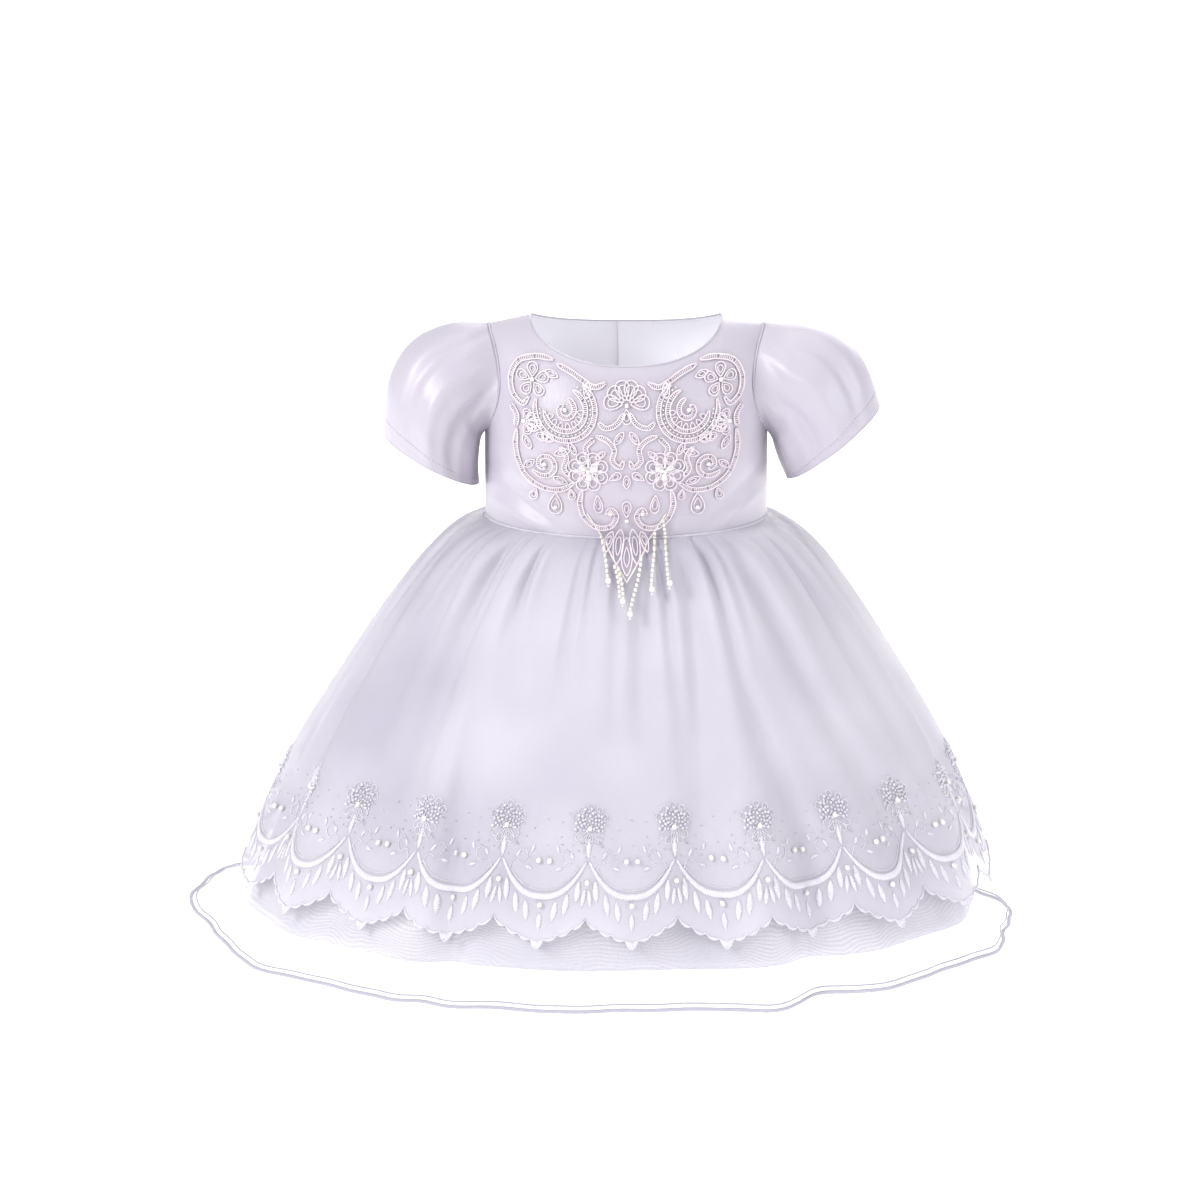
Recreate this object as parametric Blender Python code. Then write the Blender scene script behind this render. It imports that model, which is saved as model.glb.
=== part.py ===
"""A christening gown for an infant of about 6 to 12 months, filled out as when worn.

Metres, +Z up. The origin lies between the shoulder seams, the front faces -Y and the
wearer's left is +X. Every piece of cloth is a closed wall, and pieces that a seam joins
stand 0.3 mm apart.
"""

import math
from collections import namedtuple

import bmesh
import bpy
import numpy as np
from mathutils.geometry import delaunay_2d_cdt

# Cloth
WALL = 0.0012
SEAM_GAP = 0.0003
SHARP_ANGLE = math.radians(50)

# Bodice
HALF_WIDTH = 0.087
FRONT_DEPTH = 0.070
BACK_DEPTH = 0.064
SHOULDER_ROUND = 0.070  # height over which the shoulder rounds into the chest
WAIST_Z = -0.124
NECK_HALF_WIDTH = 0.058
FRONT_NECK_DROP = 0.022
BACK_NECK_DROP = 0.010
NECK_ROUND = (2.4, 0.6)  # powers of the neckline's curve, across and down
SHOULDER_TIP_X = 0.084
SHOULDER_SLOPE = 0.005  # drop from the neck point to the shoulder tip
UNDERARM_Z = -0.072
ARMHOLE_SCOOP = 0.0085  # how far the armhole cuts in towards the neck
NECK_COLUMNS = 6
SHOULDER_COLUMNS = 4
SIDE_ROWS = 4
ARMHOLE_ROWS = 9
LAP = 0.007  # each back reaches this far past the centre
LAP_RISE = 0.010  # width over which the outer back climbs onto the inner one

# Closing
BUTTON_RADIUS = 0.0048
BUTTON_THICKNESS = 0.0018
BUTTON_SIDES = 12
BUTTON_RINGS = ((0.0, 1.0), (0.6, 1.0), (1.0, 0.72))  # height and size, as shares
BUTTON_GAP = 0.0007
BUTTONS = {"top": -0.022, "middle": -0.060, "low": -0.098}

# Skirts
SKIRT_TOP_Z = WAIST_Z - SEAM_GAP
SCALLOPS = 22
COLUMNS_PER_SCALLOP = 8
SCALLOP_DEPTH = 0.016
SCALLOP_ROUND = 1.6  # power of a lobe's curve, from its tip to its cusps
SCALLOP_PHASE = -0.021  # a cusp of the hem, along it from the centre front
GATHERS = 44
INNER_GATHERS = 22
INNER_COLUMNS_PER_GATHER = 4
FOLD_MEAN = 0.0022  # taken off so that the folds keep the skirt's mean size

Ring = namedtuple("Ring", "z half_width front back shift gather folds")
OVERSKIRT_RINGS = (
    Ring(SKIRT_TOP_Z, 0.0875, 0.0705, 0.0648, 0.0, 0.0007, 0.0),
    Ring(-0.1300, 0.1000, 0.0815, 0.0780, -0.0004, 0.0026, 0.05),
    Ring(-0.1420, 0.1150, 0.0915, 0.0905, -0.0008, 0.0030, 0.15),
    Ring(-0.1700, 0.1375, 0.1045, 0.1070, -0.0015, 0.0022, 0.35),
    Ring(-0.2150, 0.1670, 0.1215, 0.1270, -0.0025, 0.0012, 0.60),
    Ring(-0.2750, 0.2020, 0.1410, 0.1480, -0.0035, 0.0004, 0.85),
    Ring(-0.3570, 0.2360, 0.1610, 0.1690, -0.0050, 0.0, 1.0),
)

# How far the inner layers lie inside the overskirt at its rings, and what is theirs alone
Inset = namedtuple("Inset", "organza satin gather organza_folds satin_folds")
INSETS = (
    Inset(0.0024, 0.0042, 0.0000, 0.0, 0.0),
    Inset(0.0062, 0.0100, 0.0010, 0.05, 0.04),
    Inset(0.0066, 0.0115, 0.0012, 0.15, 0.12),
    Inset(0.0060, 0.0115, 0.0012, 0.32, 0.26),
    Inset(0.0050, 0.0110, 0.0008, 0.55, 0.45),
    Inset(0.0042, 0.0105, 0.0004, 0.78, 0.62),
    Inset(0.0036, 0.0120, 0.0000, 0.92, 0.75),
)
ORGANZA_HEM = (
    Ring(-0.3700, 0.2420, 0.1660, 0.1740, -0.0085, 0.0, 1.0),
    Ring(-0.3895, 0.2530, 0.1750, 0.1840, -0.0130, 0.0, 1.15),
)
SATIN_HEM = Ring(-0.3720, 0.2260, 0.1545, 0.1620, -0.0080, 0.0, 0.8)
SIDE_LIFT = 0.004  # the organza hem rises this much towards both sides
Lift = namedtuple("Lift", "height angle width")
RIGHT_LIFT = Lift(0.018, math.radians(-98), math.radians(26))
CORD_RADIUS = 0.0013
CORD_SIDES = 4

Fold = namedtuple("Fold", "at_waist at_hem width height")
FOLDS = (
    Fold(-166, -168, 10, 0.0060),
    Fold(-139, -141, 11, 0.0070),
    Fold(-112, -114, 9, 0.0060),
    Fold(-86, -87, 9, 0.0070),
    Fold(-66, -58, 8, 0.0060),
    Fold(-47, -29, 8, 0.0080),
    Fold(-12, -7, 7, 0.0030),
    Fold(27, 22, 7, 0.0085),
    Fold(47, 44, 8, 0.0060),
    Fold(70, 69, 9, 0.0070),
    Fold(96, 97, 9, 0.0060),
    Fold(122, 124, 10, 0.0070),
    Fold(150, 152, 10, 0.0060),
)
BUNCHED_FOLD = Fold(24, 24, 4.5, 0.0065)  # one tight tuck in the organza's hem

# Sleeves, at rings from the armhole to the hem
SleeveRing = namedtuple("SleeveRing", "top_x top_z under_x under_z half_depth")
RIGHT_SLEEVE = (
    SleeveRing(0.102, -0.0050, 0.0892, -0.0765, 0.0320),
    SleeveRing(0.122, -0.0105, 0.0902, -0.0830, 0.0360),
    SleeveRing(0.138, -0.0240, 0.0908, -0.0900, 0.0380),
    SleeveRing(0.147, -0.0460, 0.0910, -0.0970, 0.0375),
    SleeveRing(0.149, -0.0740, 0.0905, -0.1045, 0.0355),
)
LEFT_SLEEVE = (
    SleeveRing(0.103, -0.0045, 0.0896, -0.0770, 0.0320),
    SleeveRing(0.122, -0.0080, 0.0915, -0.0835, 0.0360),
    SleeveRing(0.138, -0.0185, 0.0935, -0.0895, 0.0385),
    SleeveRing(0.149, -0.0350, 0.0960, -0.0955, 0.0385),
    SleeveRing(0.156, -0.0560, 0.0985, -0.1010, 0.0370),
)

# Applique
APPLIQUE_GAP = 0.0006
APPLIQUE_THICKNESS = 0.0012
APPLIQUE_STEP = 0.011  # spacing of the points inside its outline
DROP_STEP = 0.006  # the same where it leaves the bodice
LACE_LEAVES_Z = -0.112  # the applique lies on the bodice above this and on the skirt below
SKIRT_CLEARANCE = 0.0012
DROP_HALF_WIDTH = 0.024
DROP_TOP_Z = -0.108
DROP_TIP_Z = -0.144

Anchor = namedtuple("Anchor", "x z bulge")
# Half of the outline, from the centre of the neck to the side of the V. The bulge of a
# stretch is the height of its arc, as a share of its length.
APPLIQUE_EDGE = (
    Anchor(0.000, -0.0265, 0.00),
    Anchor(0.016, -0.0258, 0.00),
    Anchor(0.031, -0.0228, 0.00),
    Anchor(0.045, -0.0170, 0.00),
    Anchor(0.054, -0.0145, 0.00),
    Anchor(0.060, -0.0140, 0.10),
    Anchor(0.071, -0.0200, 0.12),
    Anchor(0.0700, -0.0310, 0.12),
    Anchor(0.067, -0.0430, 0.16),
    Anchor(0.071, -0.0600, 0.16),
    Anchor(0.070, -0.0790, 0.28),
    Anchor(0.060, -0.0940, 0.28),
    Anchor(0.049, -0.0900, 0.08),
    Anchor(0.046, -0.1080, 0.34),
    Anchor(0.034, -0.1100, 0.30),
    Anchor(DROP_HALF_WIDTH, DROP_TOP_Z, 0.0),
)
ARC_POINTS = 3
DROP_POINTS = 5

Hole = namedtuple("Hole", "x z radius stretch turn")
# The larger gaps of the lace, one side's; a row on the centre line isn't mirrored
APPLIQUE_HOLES = (
    Hole(0.000, -0.0345, 0.0028, 1.5, 0),
    Hole(0.014, -0.0350, 0.0028, 1.4, 20),
    Hole(0.028, -0.0330, 0.0028, 1.4, 35),
    Hole(0.042, -0.0280, 0.0028, 1.5, 45),
    Hole(0.057, -0.0235, 0.0028, 1.4, 70),
    Hole(0.059, -0.0360, 0.0030, 1.4, 90),
    Hole(0.044, -0.0430, 0.0038, 1.5, 60),
    Hole(0.026, -0.0480, 0.0038, 1.6, 20),
    Hole(0.008, -0.0480, 0.0030, 1.3, 90),
    Hole(0.058, -0.0530, 0.0034, 1.5, 95),
    Hole(0.042, -0.0600, 0.0036, 1.4, 120),
    Hole(0.024, -0.0640, 0.0034, 1.5, 150),
    Hole(0.008, -0.0640, 0.0030, 1.4, 90),
    Hole(0.058, -0.0700, 0.0034, 1.4, 90),
    Hole(0.058, -0.0840, 0.0028, 1.3, 60),
    Hole(0.041, -0.0760, 0.0030, 1.4, 90),
    Hole(0.040, -0.0920, 0.0030, 1.4, 90),
    Hole(0.026, -0.0800, 0.0030, 1.4, 60),
    Hole(0.026, -0.0960, 0.0034, 1.4, 110),
    Hole(0.010, -0.0800, 0.0028, 1.4, 90),
    Hole(0.011, -0.0960, 0.0032, 1.5, 100),
    Hole(0.009, -0.1120, 0.0030, 1.4, 75),
    Hole(0.000, -0.1250, 0.0030, 1.6, 90),
)
HOLE_SIDES = 6
CLEAR_OF_EDGE = 0.003  # no inner point lies nearer to an edge than this
SAMPLE = 0.002  # distance over which a surface's slope is taken

# Bead strands below the applique
FRINGE_GAP = 0.0014
STRIP_HEIGHT = 0.0028
STRIP_THICKNESS = 0.0016
STRAND_WIDTH = 0.0022
STRAND_ROWS = 8
Strand = namedtuple("Strand", "x length drift")
STRANDS = (
    Strand(-0.0150, 0.0235, 0.0040),
    Strand(-0.0060, 0.0210, 0.0035),
    Strand(0.0085, 0.0320, -0.0065),
    Strand(0.0165, 0.0305, -0.0015),
    Strand(0.0215, 0.0350, 0.0040),
)

SATIN = ("satin", (0.80, 0.78, 0.88, 1.0), 0.38)
ORGANZA = ("organza", (0.86, 0.85, 0.92, 1.0), 0.45)
LACE = ("lace", (0.90, 0.86, 0.92, 1.0), 0.70)
PEARL = ("pearl", (0.92, 0.90, 0.92, 1.0), 0.22)


def clear_scene():
    for found in list(bpy.data.objects):
        bpy.data.objects.remove(found, do_unlink=True)


def finish_material(finish):
    """The material of this finish, made once."""
    name, colour, roughness = finish
    made = bpy.data.materials.get(name)
    if made is None:
        made = bpy.data.materials.new(name)
        made.use_nodes = True
        shader = made.node_tree.nodes["Principled BSDF"]
        shader.inputs["Base Color"].default_value = colour
        shader.inputs["Roughness"].default_value = roughness
        shader.inputs["Metallic"].default_value = 0.0
    return made


def add_object(name, points, faces, finish):
    """One closed mesh as an object, its faces turned outwards."""
    mesh = bpy.data.meshes.new(name)
    mesh.from_pydata(np.asarray(points).tolist(), [], [[int(i) for i in face] for face in faces])
    edit = bmesh.new()
    edit.from_mesh(mesh)
    bmesh.ops.recalc_face_normals(edit, faces=edit.faces)
    edit.to_mesh(mesh)
    edit.free()
    mesh.shade_smooth()
    mesh.set_sharp_from_angle(angle=SHARP_ANGLE)
    mesh.materials.append(finish_material(finish))
    made = bpy.data.objects.new(name, mesh)
    bpy.context.collection.objects.link(made)
    return made


def unit(vectors):
    return vectors / np.maximum(np.linalg.norm(vectors, axis=-1, keepdims=True), 1e-12)


def grid_normals(grid, closed):
    """Normals of a grid of points: rows run up or down, columns run round."""
    if closed:
        across = np.roll(grid, -1, axis=1) - np.roll(grid, 1, axis=1)
    else:
        across = np.gradient(grid, axis=1)
    return unit(np.cross(across, np.gradient(grid, axis=0)))


def wall_faces(rows, columns, closed):
    """Faces of a wall whose outer grid comes first and inner grid second."""
    faces = []
    inner = rows * columns
    spans = columns if closed else columns - 1

    def at(row, column):
        return row * columns + column % columns

    for row in range(rows - 1):
        for column in range(spans):
            quad = (
                at(row, column),
                at(row, column + 1),
                at(row + 1, column + 1),
                at(row + 1, column),
            )
            faces.append(quad)
            faces.append(tuple(inner + i for i in reversed(quad)))
    for column in range(spans):
        top = (at(0, column), at(0, column + 1))
        low = (at(rows - 1, column), at(rows - 1, column + 1))
        faces.append((top[1], top[0], inner + top[0], inner + top[1]))
        faces.append((low[0], low[1], inner + low[1], inner + low[0]))
    if not closed:
        for row in range(rows - 1):
            first = (at(row, 0), at(row + 1, 0))
            last = (at(row, columns - 1), at(row + 1, columns - 1))
            faces.append((first[0], first[1], inner + first[1], inner + first[0]))
            faces.append((last[1], last[0], inner + last[0], inner + last[1]))
    return faces


def add_wall(name, outer, inner, closed, finish):
    rows, columns = outer.shape[:2]
    points = np.concatenate([outer.reshape(-1, 3), inner.reshape(-1, 3)])
    return add_object(name, points, wall_faces(rows, columns, closed), finish)


# Bodice: at a height, a point lies on an ellipse whose depth shrinks to nothing at the
# shoulder seam. The side edge of a panel is the side seam and, above it, the armhole.


def shoulder_drop(x):
    beyond = np.clip(np.abs(x) - NECK_HALF_WIDTH, 0, None)
    return SHOULDER_SLOPE * beyond / (SHOULDER_TIP_X - NECK_HALF_WIDTH)


def chest_depth(x, z, full_depth):
    """Depth of the ellipse at a height, by its distance below the shoulder line."""
    below = np.clip(-(z + shoulder_drop(x)), 0, SHOULDER_ROUND)
    return full_depth * np.sqrt(1 - (1 - below / SHOULDER_ROUND) ** 2)


def edge_angle(z):
    """Angle from the centre to a panel's side edge at a height."""
    share = np.clip((z - UNDERARM_Z) / (-SHOULDER_SLOPE - UNDERARM_Z), 0, 1)
    x = HALF_WIDTH + (SHOULDER_TIP_X - HALF_WIDTH) * share
    x = x - ARMHOLE_SCOOP * np.sin(math.pi * share)
    return np.arcsin(np.clip(x / HALF_WIDTH, 0, 1))


def neck_height(x, drop):
    share = np.clip(np.abs(x) / NECK_HALF_WIDTH, 0, 1)
    across, down = NECK_ROUND
    return -drop * (1 - share**across) ** down


def panel_shares():
    """Columns as shares of the edge angle, with one on the neck point."""
    neck = math.asin(NECK_HALF_WIDTH / HALF_WIDTH) / edge_angle(-SHOULDER_SLOPE)
    across = np.linspace(0, neck, NECK_COLUMNS + 1)
    return np.concatenate([across, np.linspace(neck, 1, SHOULDER_COLUMNS + 1)[1:]])


def panel_rows():
    """Rows as shares of the height, with one on the underarm."""
    underarm = (UNDERARM_Z - WAIST_Z) / (-SHOULDER_SLOPE - WAIST_Z)
    low = np.linspace(0, underarm, SIDE_ROWS + 1)
    high = np.sin(np.linspace(0, math.pi / 2, ARMHOLE_ROWS + 1))
    return np.concatenate([low, underarm + (1 - underarm) * high[1:]])


def panel_top(shares, drop):
    """Height at which each column meets the neckline or the shoulder seam."""
    z = np.full_like(shares, -drop / 2)
    for _ in range(40):
        x = HALF_WIDTH * np.sin(shares * edge_angle(z))
        seam = -shoulder_drop(x)
        z = np.where(np.abs(x) < NECK_HALF_WIDTH - 1e-6, neck_height(x, drop), seam)
    return z


def bodice_points(angle, z, side, full_depth):
    """Points on the bodice, side being -1 in front and +1 behind."""
    x = HALF_WIDTH * np.sin(angle)
    y = side * chest_depth(x, z, full_depth) * np.cos(angle)
    return np.stack([x, y, z], axis=-1)


def bodice_grid(shares, side, full_depth, drop):
    """Outer and inner points of a panel between the signed shares given."""
    rows = panel_rows()
    top = panel_top(np.abs(shares), drop)
    z = WAIST_Z + rows[:, None] * (top[None, :] - WAIST_Z)
    angle = shares[None, :] * edge_angle(z)
    outer = bodice_points(angle, z, side, full_depth)
    normals = grid_normals(outer, closed=False)
    if np.sum(normals[..., 1] * side) < 0:
        normals = -normals
    normals[0, :, 2] = 0.0
    seam_columns = np.abs(outer[-1, :, 0]) > NECK_HALF_WIDTH - 1e-5
    normals[-1, seam_columns, :2] = 0.0
    for column in (0, -1):
        if abs(shares[column]) > 0.999:
            normals[: SIDE_ROWS + 1, column, 1] = 0.0
    normals = unit(normals)
    inner = outer - WALL * normals
    for grid in (outer, inner):
        beyond = side * grid[..., 1] < SEAM_GAP / 2
        grid[..., 1] = np.where(beyond, side * SEAM_GAP / 2, grid[..., 1])
    return outer, inner, normals


def add_bodice_front():
    half = panel_shares()
    shares = np.concatenate([-half[:0:-1], half])
    outer, inner, _ = bodice_grid(shares, -1, FRONT_DEPTH, FRONT_NECK_DROP)
    add_wall("bodice_front", outer, inner, False, SATIN)
    return outer


def back_shares():
    """Columns of a back, the wearer's left: past the centre by the lap, and its rise."""
    lap = LAP / HALF_WIDTH / (math.pi / 2)
    rise = (LAP + LAP_RISE) / HALF_WIDTH / (math.pi / 2)
    half = panel_shares()
    return np.concatenate([[-lap, 0.0, lap, rise], half[half > 1.1 * rise]])


def add_bodice_backs():
    """Both backs, the wearer's right one lapped over the left. Returns their outer points."""
    shares = back_shares()
    outer, inner, _ = bodice_grid(shares, 1, BACK_DEPTH, BACK_NECK_DROP)
    add_wall("bodice_back_left", outer, inner, False, SATIN)
    over, under, normals = bodice_grid(-shares, 1, BACK_DEPTH, BACK_NECK_DROP)
    lifted = np.array([1, 1, 1] + [0] * (len(shares) - 3), float)
    step = (WALL + SEAM_GAP) * lifted[None, :, None] * normals
    add_wall("bodice_back_right", over + step, under + step, False, SATIN)
    return outer, over + step


def add_buttons():
    """Round buttons down the lap, each a low dome on the outer back."""
    angles = np.linspace(0, 2 * math.pi, BUTTON_SIDES, endpoint=False)
    for name, z in BUTTONS.items():
        seat = chest_depth(0.0, z, BACK_DEPTH) + WALL + BUTTON_GAP
        above, below = (chest_depth(0.0, z + end, BACK_DEPTH) for end in (BUTTON_RADIUS, -BUTTON_RADIUS))
        lean = (below - above) / (2 * BUTTON_RADIUS)
        points = []
        for height, size in BUTTON_RINGS:
            x = size * BUTTON_RADIUS * np.cos(angles)
            up = size * BUTTON_RADIUS * np.sin(angles)
            y = seat + height * BUTTON_THICKNESS - lean * up
            points.append(np.stack([x, y, z + up], axis=-1))
        points = np.concatenate(points)
        count = BUTTON_SIDES
        faces = [tuple(range(count)), tuple(reversed(range(2 * count, 3 * count)))]
        for ring in range(len(BUTTON_RINGS) - 1):
            for k in range(count):
                a = ring * count + k
                b = ring * count + (k + 1) % count
                faces.append((b, a, a + count, b + count))
        add_object(f"back_button_{name}", points, faces, PEARL)


# Skirts: rings of a flared ellipse, moved along the ellipse's normal by gathers that
# fade from the waist and by folds that grow towards the hem.


def even_angles(count, phase):
    """Angles from the centre front, evenly spaced along the overskirt's hem."""
    hem = OVERSKIRT_RINGS[-1]
    fine = np.linspace(-math.pi, math.pi, 7201)
    depth = np.where(np.abs(fine) < math.pi / 2, hem.front, hem.back)
    speed = np.hypot(hem.half_width * np.cos(fine), depth * np.sin(fine))
    steps = (speed[1:] + speed[:-1]) / 2 * np.diff(fine)
    length = np.concatenate([[0.0], np.cumsum(steps)])
    middle = np.interp(0.0, fine, length)
    wanted = middle + phase + (np.arange(count) / count - 0.5) * length[-1]
    return np.interp(wanted, length, fine, period=length[-1])


def fold_height(angles, growth, folds):
    """Sum of rounded ridges whose centres drift from the waist to the hem."""
    total = np.full_like(angles, -FOLD_MEAN)
    for fold in folds:
        centre = math.radians(fold.at_waist + (fold.at_hem - fold.at_waist) * growth)
        away = (angles - centre + math.pi) % (2 * math.pi) - math.pi
        total = total + fold.height * np.exp(-((away / math.radians(fold.width)) ** 2))
    return total


def skirt_ring(ring, angles, wave, heights):
    """One ring of a skirt: the flared ellipse moved out by the gathers and the folds."""
    depth = np.where(np.cos(angles) > 0, ring.front, ring.back)
    plan = np.stack([ring.half_width * np.sin(angles), -depth * np.cos(angles)], axis=-1)
    out = unit(np.stack([np.sin(angles) / ring.half_width, -np.cos(angles) / depth], axis=-1))
    moved = ring.gather * wave + ring.folds * fold_height(angles, ring.folds, FOLDS)
    plan = plan + out * moved[:, None]
    plan[:, 0] += ring.shift
    return np.column_stack([plan, heights])


def add_skirt(name, grid, finish):
    """A skirt's wall, its top edge level."""
    normals = grid_normals(grid, closed=True)
    if np.sum(normals[0, :, :2] * grid[0, :, :2]) < 0:
        normals = -normals
    normals[0, :, 2] = 0.0
    normals = unit(normals)
    add_wall(name, grid, grid - WALL * normals, True, finish)


def scallop_rise(count):
    """Height of the scalloped hem over its lobes' tips, a round lobe between two cusps."""
    place = (np.arange(count) % COLUMNS_PER_SCALLOP) / COLUMNS_PER_SCALLOP
    return SCALLOP_DEPTH * np.abs(2 * place - 1) ** SCALLOP_ROUND


def overskirt_grid():
    count = SCALLOPS * COLUMNS_PER_SCALLOP
    angles = even_angles(count, SCALLOP_PHASE)
    wave = np.cos(2 * math.pi * np.arange(count) * GATHERS / count)
    rows = []
    for ring in OVERSKIRT_RINGS:
        rise = scallop_rise(count) if ring is OVERSKIRT_RINGS[-1] else 0.0
        rows.append(skirt_ring(ring, angles, wave, ring.z + rise * np.ones(count)))
    return np.array(rows)


def inner_ring(ring, inset, organza):
    """The ring of an inner layer, which lies inside the overskirt by its inset."""
    by = inset.organza if organza else inset.satin
    folds = inset.organza_folds if organza else inset.satin_folds
    return ring._replace(
        half_width=ring.half_width - by,
        front=ring.front - by,
        back=ring.back - by,
        gather=inset.gather,
        folds=folds,
    )


def side_lift(angles):
    """How far the organza's hem rises: a little at both sides, more at the wearer's right."""
    away = (angles - RIGHT_LIFT.angle + math.pi) % (2 * math.pi) - math.pi
    right = RIGHT_LIFT.height * np.exp(-((away / RIGHT_LIFT.width) ** 2))
    return SIDE_LIFT * np.sin(angles) ** 2 + right


def inner_angles():
    count = INNER_GATHERS * INNER_COLUMNS_PER_GATHER
    return even_angles(count, SCALLOP_PHASE)


def organza_grid():
    angles = inner_angles()
    count = len(angles)
    wave = np.cos(2 * math.pi * np.arange(count) * INNER_GATHERS / count)
    rows = []
    for ring, inset in zip(OVERSKIRT_RINGS, INSETS):
        inner = inner_ring(ring, inset, organza=True)
        rows.append(skirt_ring(inner, angles, wave, np.full(count, ring.z)))
    hem_start = OVERSKIRT_RINGS[-1].z
    total = hem_start - ORGANZA_HEM[-1].z
    for ring in ORGANZA_HEM:
        share = (hem_start - ring.z) / total
        heights = ring.z + share * side_lift(angles)
        row = skirt_ring(ring, angles, wave, heights)
        tuck = BUNCHED_FOLD.height * share * np.exp(
            -(((angles - math.radians(BUNCHED_FOLD.at_hem)) / math.radians(BUNCHED_FOLD.width)) ** 2)
        )
        row[:, 1] -= tuck
        rows.append(row)
    return np.array(rows)


def satin_grid():
    angles = inner_angles()
    count = len(angles)
    wave = np.cos(2 * math.pi * np.arange(count) * INNER_GATHERS / count)
    rows = []
    for ring, inset in list(zip(OVERSKIRT_RINGS, INSETS))[:-1]:
        inner = inner_ring(ring, inset, organza=False)
        rows.append(skirt_ring(inner, angles, wave, np.full(count, ring.z)))
    rows.append(skirt_ring(SATIN_HEM, angles, wave, np.full(count, SATIN_HEM.z)))
    return np.array(rows)


def add_hem_cord(organza):
    """A cord along the organza's lower edge, just beyond it."""
    edge, above = organza[-1], organza[-2]
    along = unit(np.roll(edge, -1, axis=0) - np.roll(edge, 1, axis=0))
    down = unit(edge - above)
    out = unit(np.cross(along, down))
    centre = edge + down * (CORD_RADIUS + SEAM_GAP) - out * WALL / 2 * np.sign(np.sum(out * edge))
    count = len(edge)
    points = []
    for side in range(CORD_SIDES):
        turn = 2 * math.pi * (side + 0.5) / CORD_SIDES
        points.append(centre + CORD_RADIUS * (math.cos(turn) * down + math.sin(turn) * out))
    faces = []
    for side in range(CORD_SIDES):
        follow = (side + 1) % CORD_SIDES
        for k in range(count):
            after = (k + 1) % count
            faces.append(
                (side * count + k, side * count + after, follow * count + after, follow * count + k)
            )
    add_object("hem_cord", np.concatenate(points), faces, SATIN)


# Sleeves: the first ring is the armhole itself, the others are tilted ellipses between a
# top point and an underarm point.


def armhole_loop(front, back, side):
    """The armhole's points from the shoulder tip down the front and up the back."""
    column = -1 if side > 0 else 0
    forward = front[SIDE_ROWS:, column][::-1]
    behind = back[SIDE_ROWS:, -1]
    loop = np.concatenate([forward, behind[1:-1]])
    loop[0, 1] = 0.0
    loop[ARMHOLE_ROWS, 1] = 0.0
    return loop


def add_sleeve(name, rings, loop, side):
    """A sleeve's wall from the armhole to its open hem."""
    start = loop + np.array([side * SEAM_GAP, 0.0, 0.0])
    count = len(loop)
    turn = 2 * math.pi * np.arange(count) / count
    rows = [start]
    for ring in rings:
        top = np.array([side * ring.top_x, 0.0, ring.top_z])
        under = np.array([side * ring.under_x, 0.0, ring.under_z])
        across = np.array([0.0, -ring.half_depth, 0.0])
        rows.append(
            (top + under) / 2
            + np.cos(turn)[:, None] * (top - under) / 2
            + np.sin(turn)[:, None] * across
        )
    outer = np.array(rows)
    normals = grid_normals(outer, closed=True)
    middle = outer.mean(axis=1, keepdims=True)
    if np.sum(normals * (outer - middle)) < 0:
        normals = -normals
    normals[0, :, 0] = 0.0
    normals = unit(normals)
    add_wall(name, outer, outer - WALL * normals, True, SATIN)


# Applique: a flat pattern of an outline and gaps, laid on the bodice's own surface and,
# below the waist, on the crests of the overskirt's gathers.


def crest_surface(x, z):
    """Y just in front of the gathers' crests, led up to the bodice above the waist."""
    heights = [-LACE_LEAVES_Z] + [-ring.z for ring in OVERSKIRT_RINGS]
    crests = [ring.front + ring.gather + SKIRT_CLEARANCE for ring in OVERSKIRT_RINGS]
    depth = np.interp(-z, heights, [FRONT_DEPTH] + crests)
    half = np.interp(-z, heights, [HALF_WIDTH] + [ring.half_width for ring in OVERSKIRT_RINGS])
    return -depth * np.sqrt(1 - np.clip(x / half, -1, 1) ** 2)


def front_surface(x, z):
    """Foremost y of the gown at a place on its front."""
    angle = np.arcsin(np.clip(x / HALF_WIDTH, -1, 1))
    bodice = -chest_depth(x, z, FRONT_DEPTH) * np.cos(angle)
    return np.where(z > LACE_LEAVES_Z, bodice, crest_surface(x, z))


def lay_on_front(plan, out):
    """Points over the gown's front, moved out along its surface's normal."""
    x, z = plan[:, 0], plan[:, 1]
    y = front_surface(x, z)
    slope_x = (front_surface(x + SAMPLE, z) - front_surface(x - SAMPLE, z)) / (2 * SAMPLE)
    slope_z = (front_surface(x, z + SAMPLE) - front_surface(x, z - SAMPLE)) / (2 * SAMPLE)
    normal = unit(np.stack([slope_x, -np.ones_like(x), slope_z], axis=-1))
    return np.stack([x, y, z], axis=-1) + out * normal


def arc_between(start, end, bulge):
    """Points of a low arc from start towards end, without end."""
    span = end - start
    beside = np.array([-span[1], span[0]])
    share = np.arange(ARC_POINTS) / ARC_POINTS if bulge else np.zeros(1)
    lift = 4 * bulge * share * (1 - share)
    return start + share[:, None] * span + lift[:, None] * beside


def drop_height(x):
    """Lower edge of the applique's V."""
    share = np.clip(np.abs(x) / DROP_HALF_WIDTH, 0, 1)
    return DROP_TIP_Z + (DROP_TOP_Z - DROP_TIP_Z) * share


def applique_outline():
    half = []
    for anchor, following in zip(APPLIQUE_EDGE, APPLIQUE_EDGE[1:]):
        start = np.array([anchor.x, anchor.z])
        end = np.array([following.x, following.z])
        half.append(arc_between(start, end, following.bulge))
    half = np.concatenate(half)
    x = np.linspace(DROP_HALF_WIDTH, 0, DROP_POINTS + 1)
    half = np.concatenate([half, np.stack([x, drop_height(x)], axis=-1)])
    mirrored = half[-2:0:-1] * np.array([-1, 1])
    return np.concatenate([half, mirrored])


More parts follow.
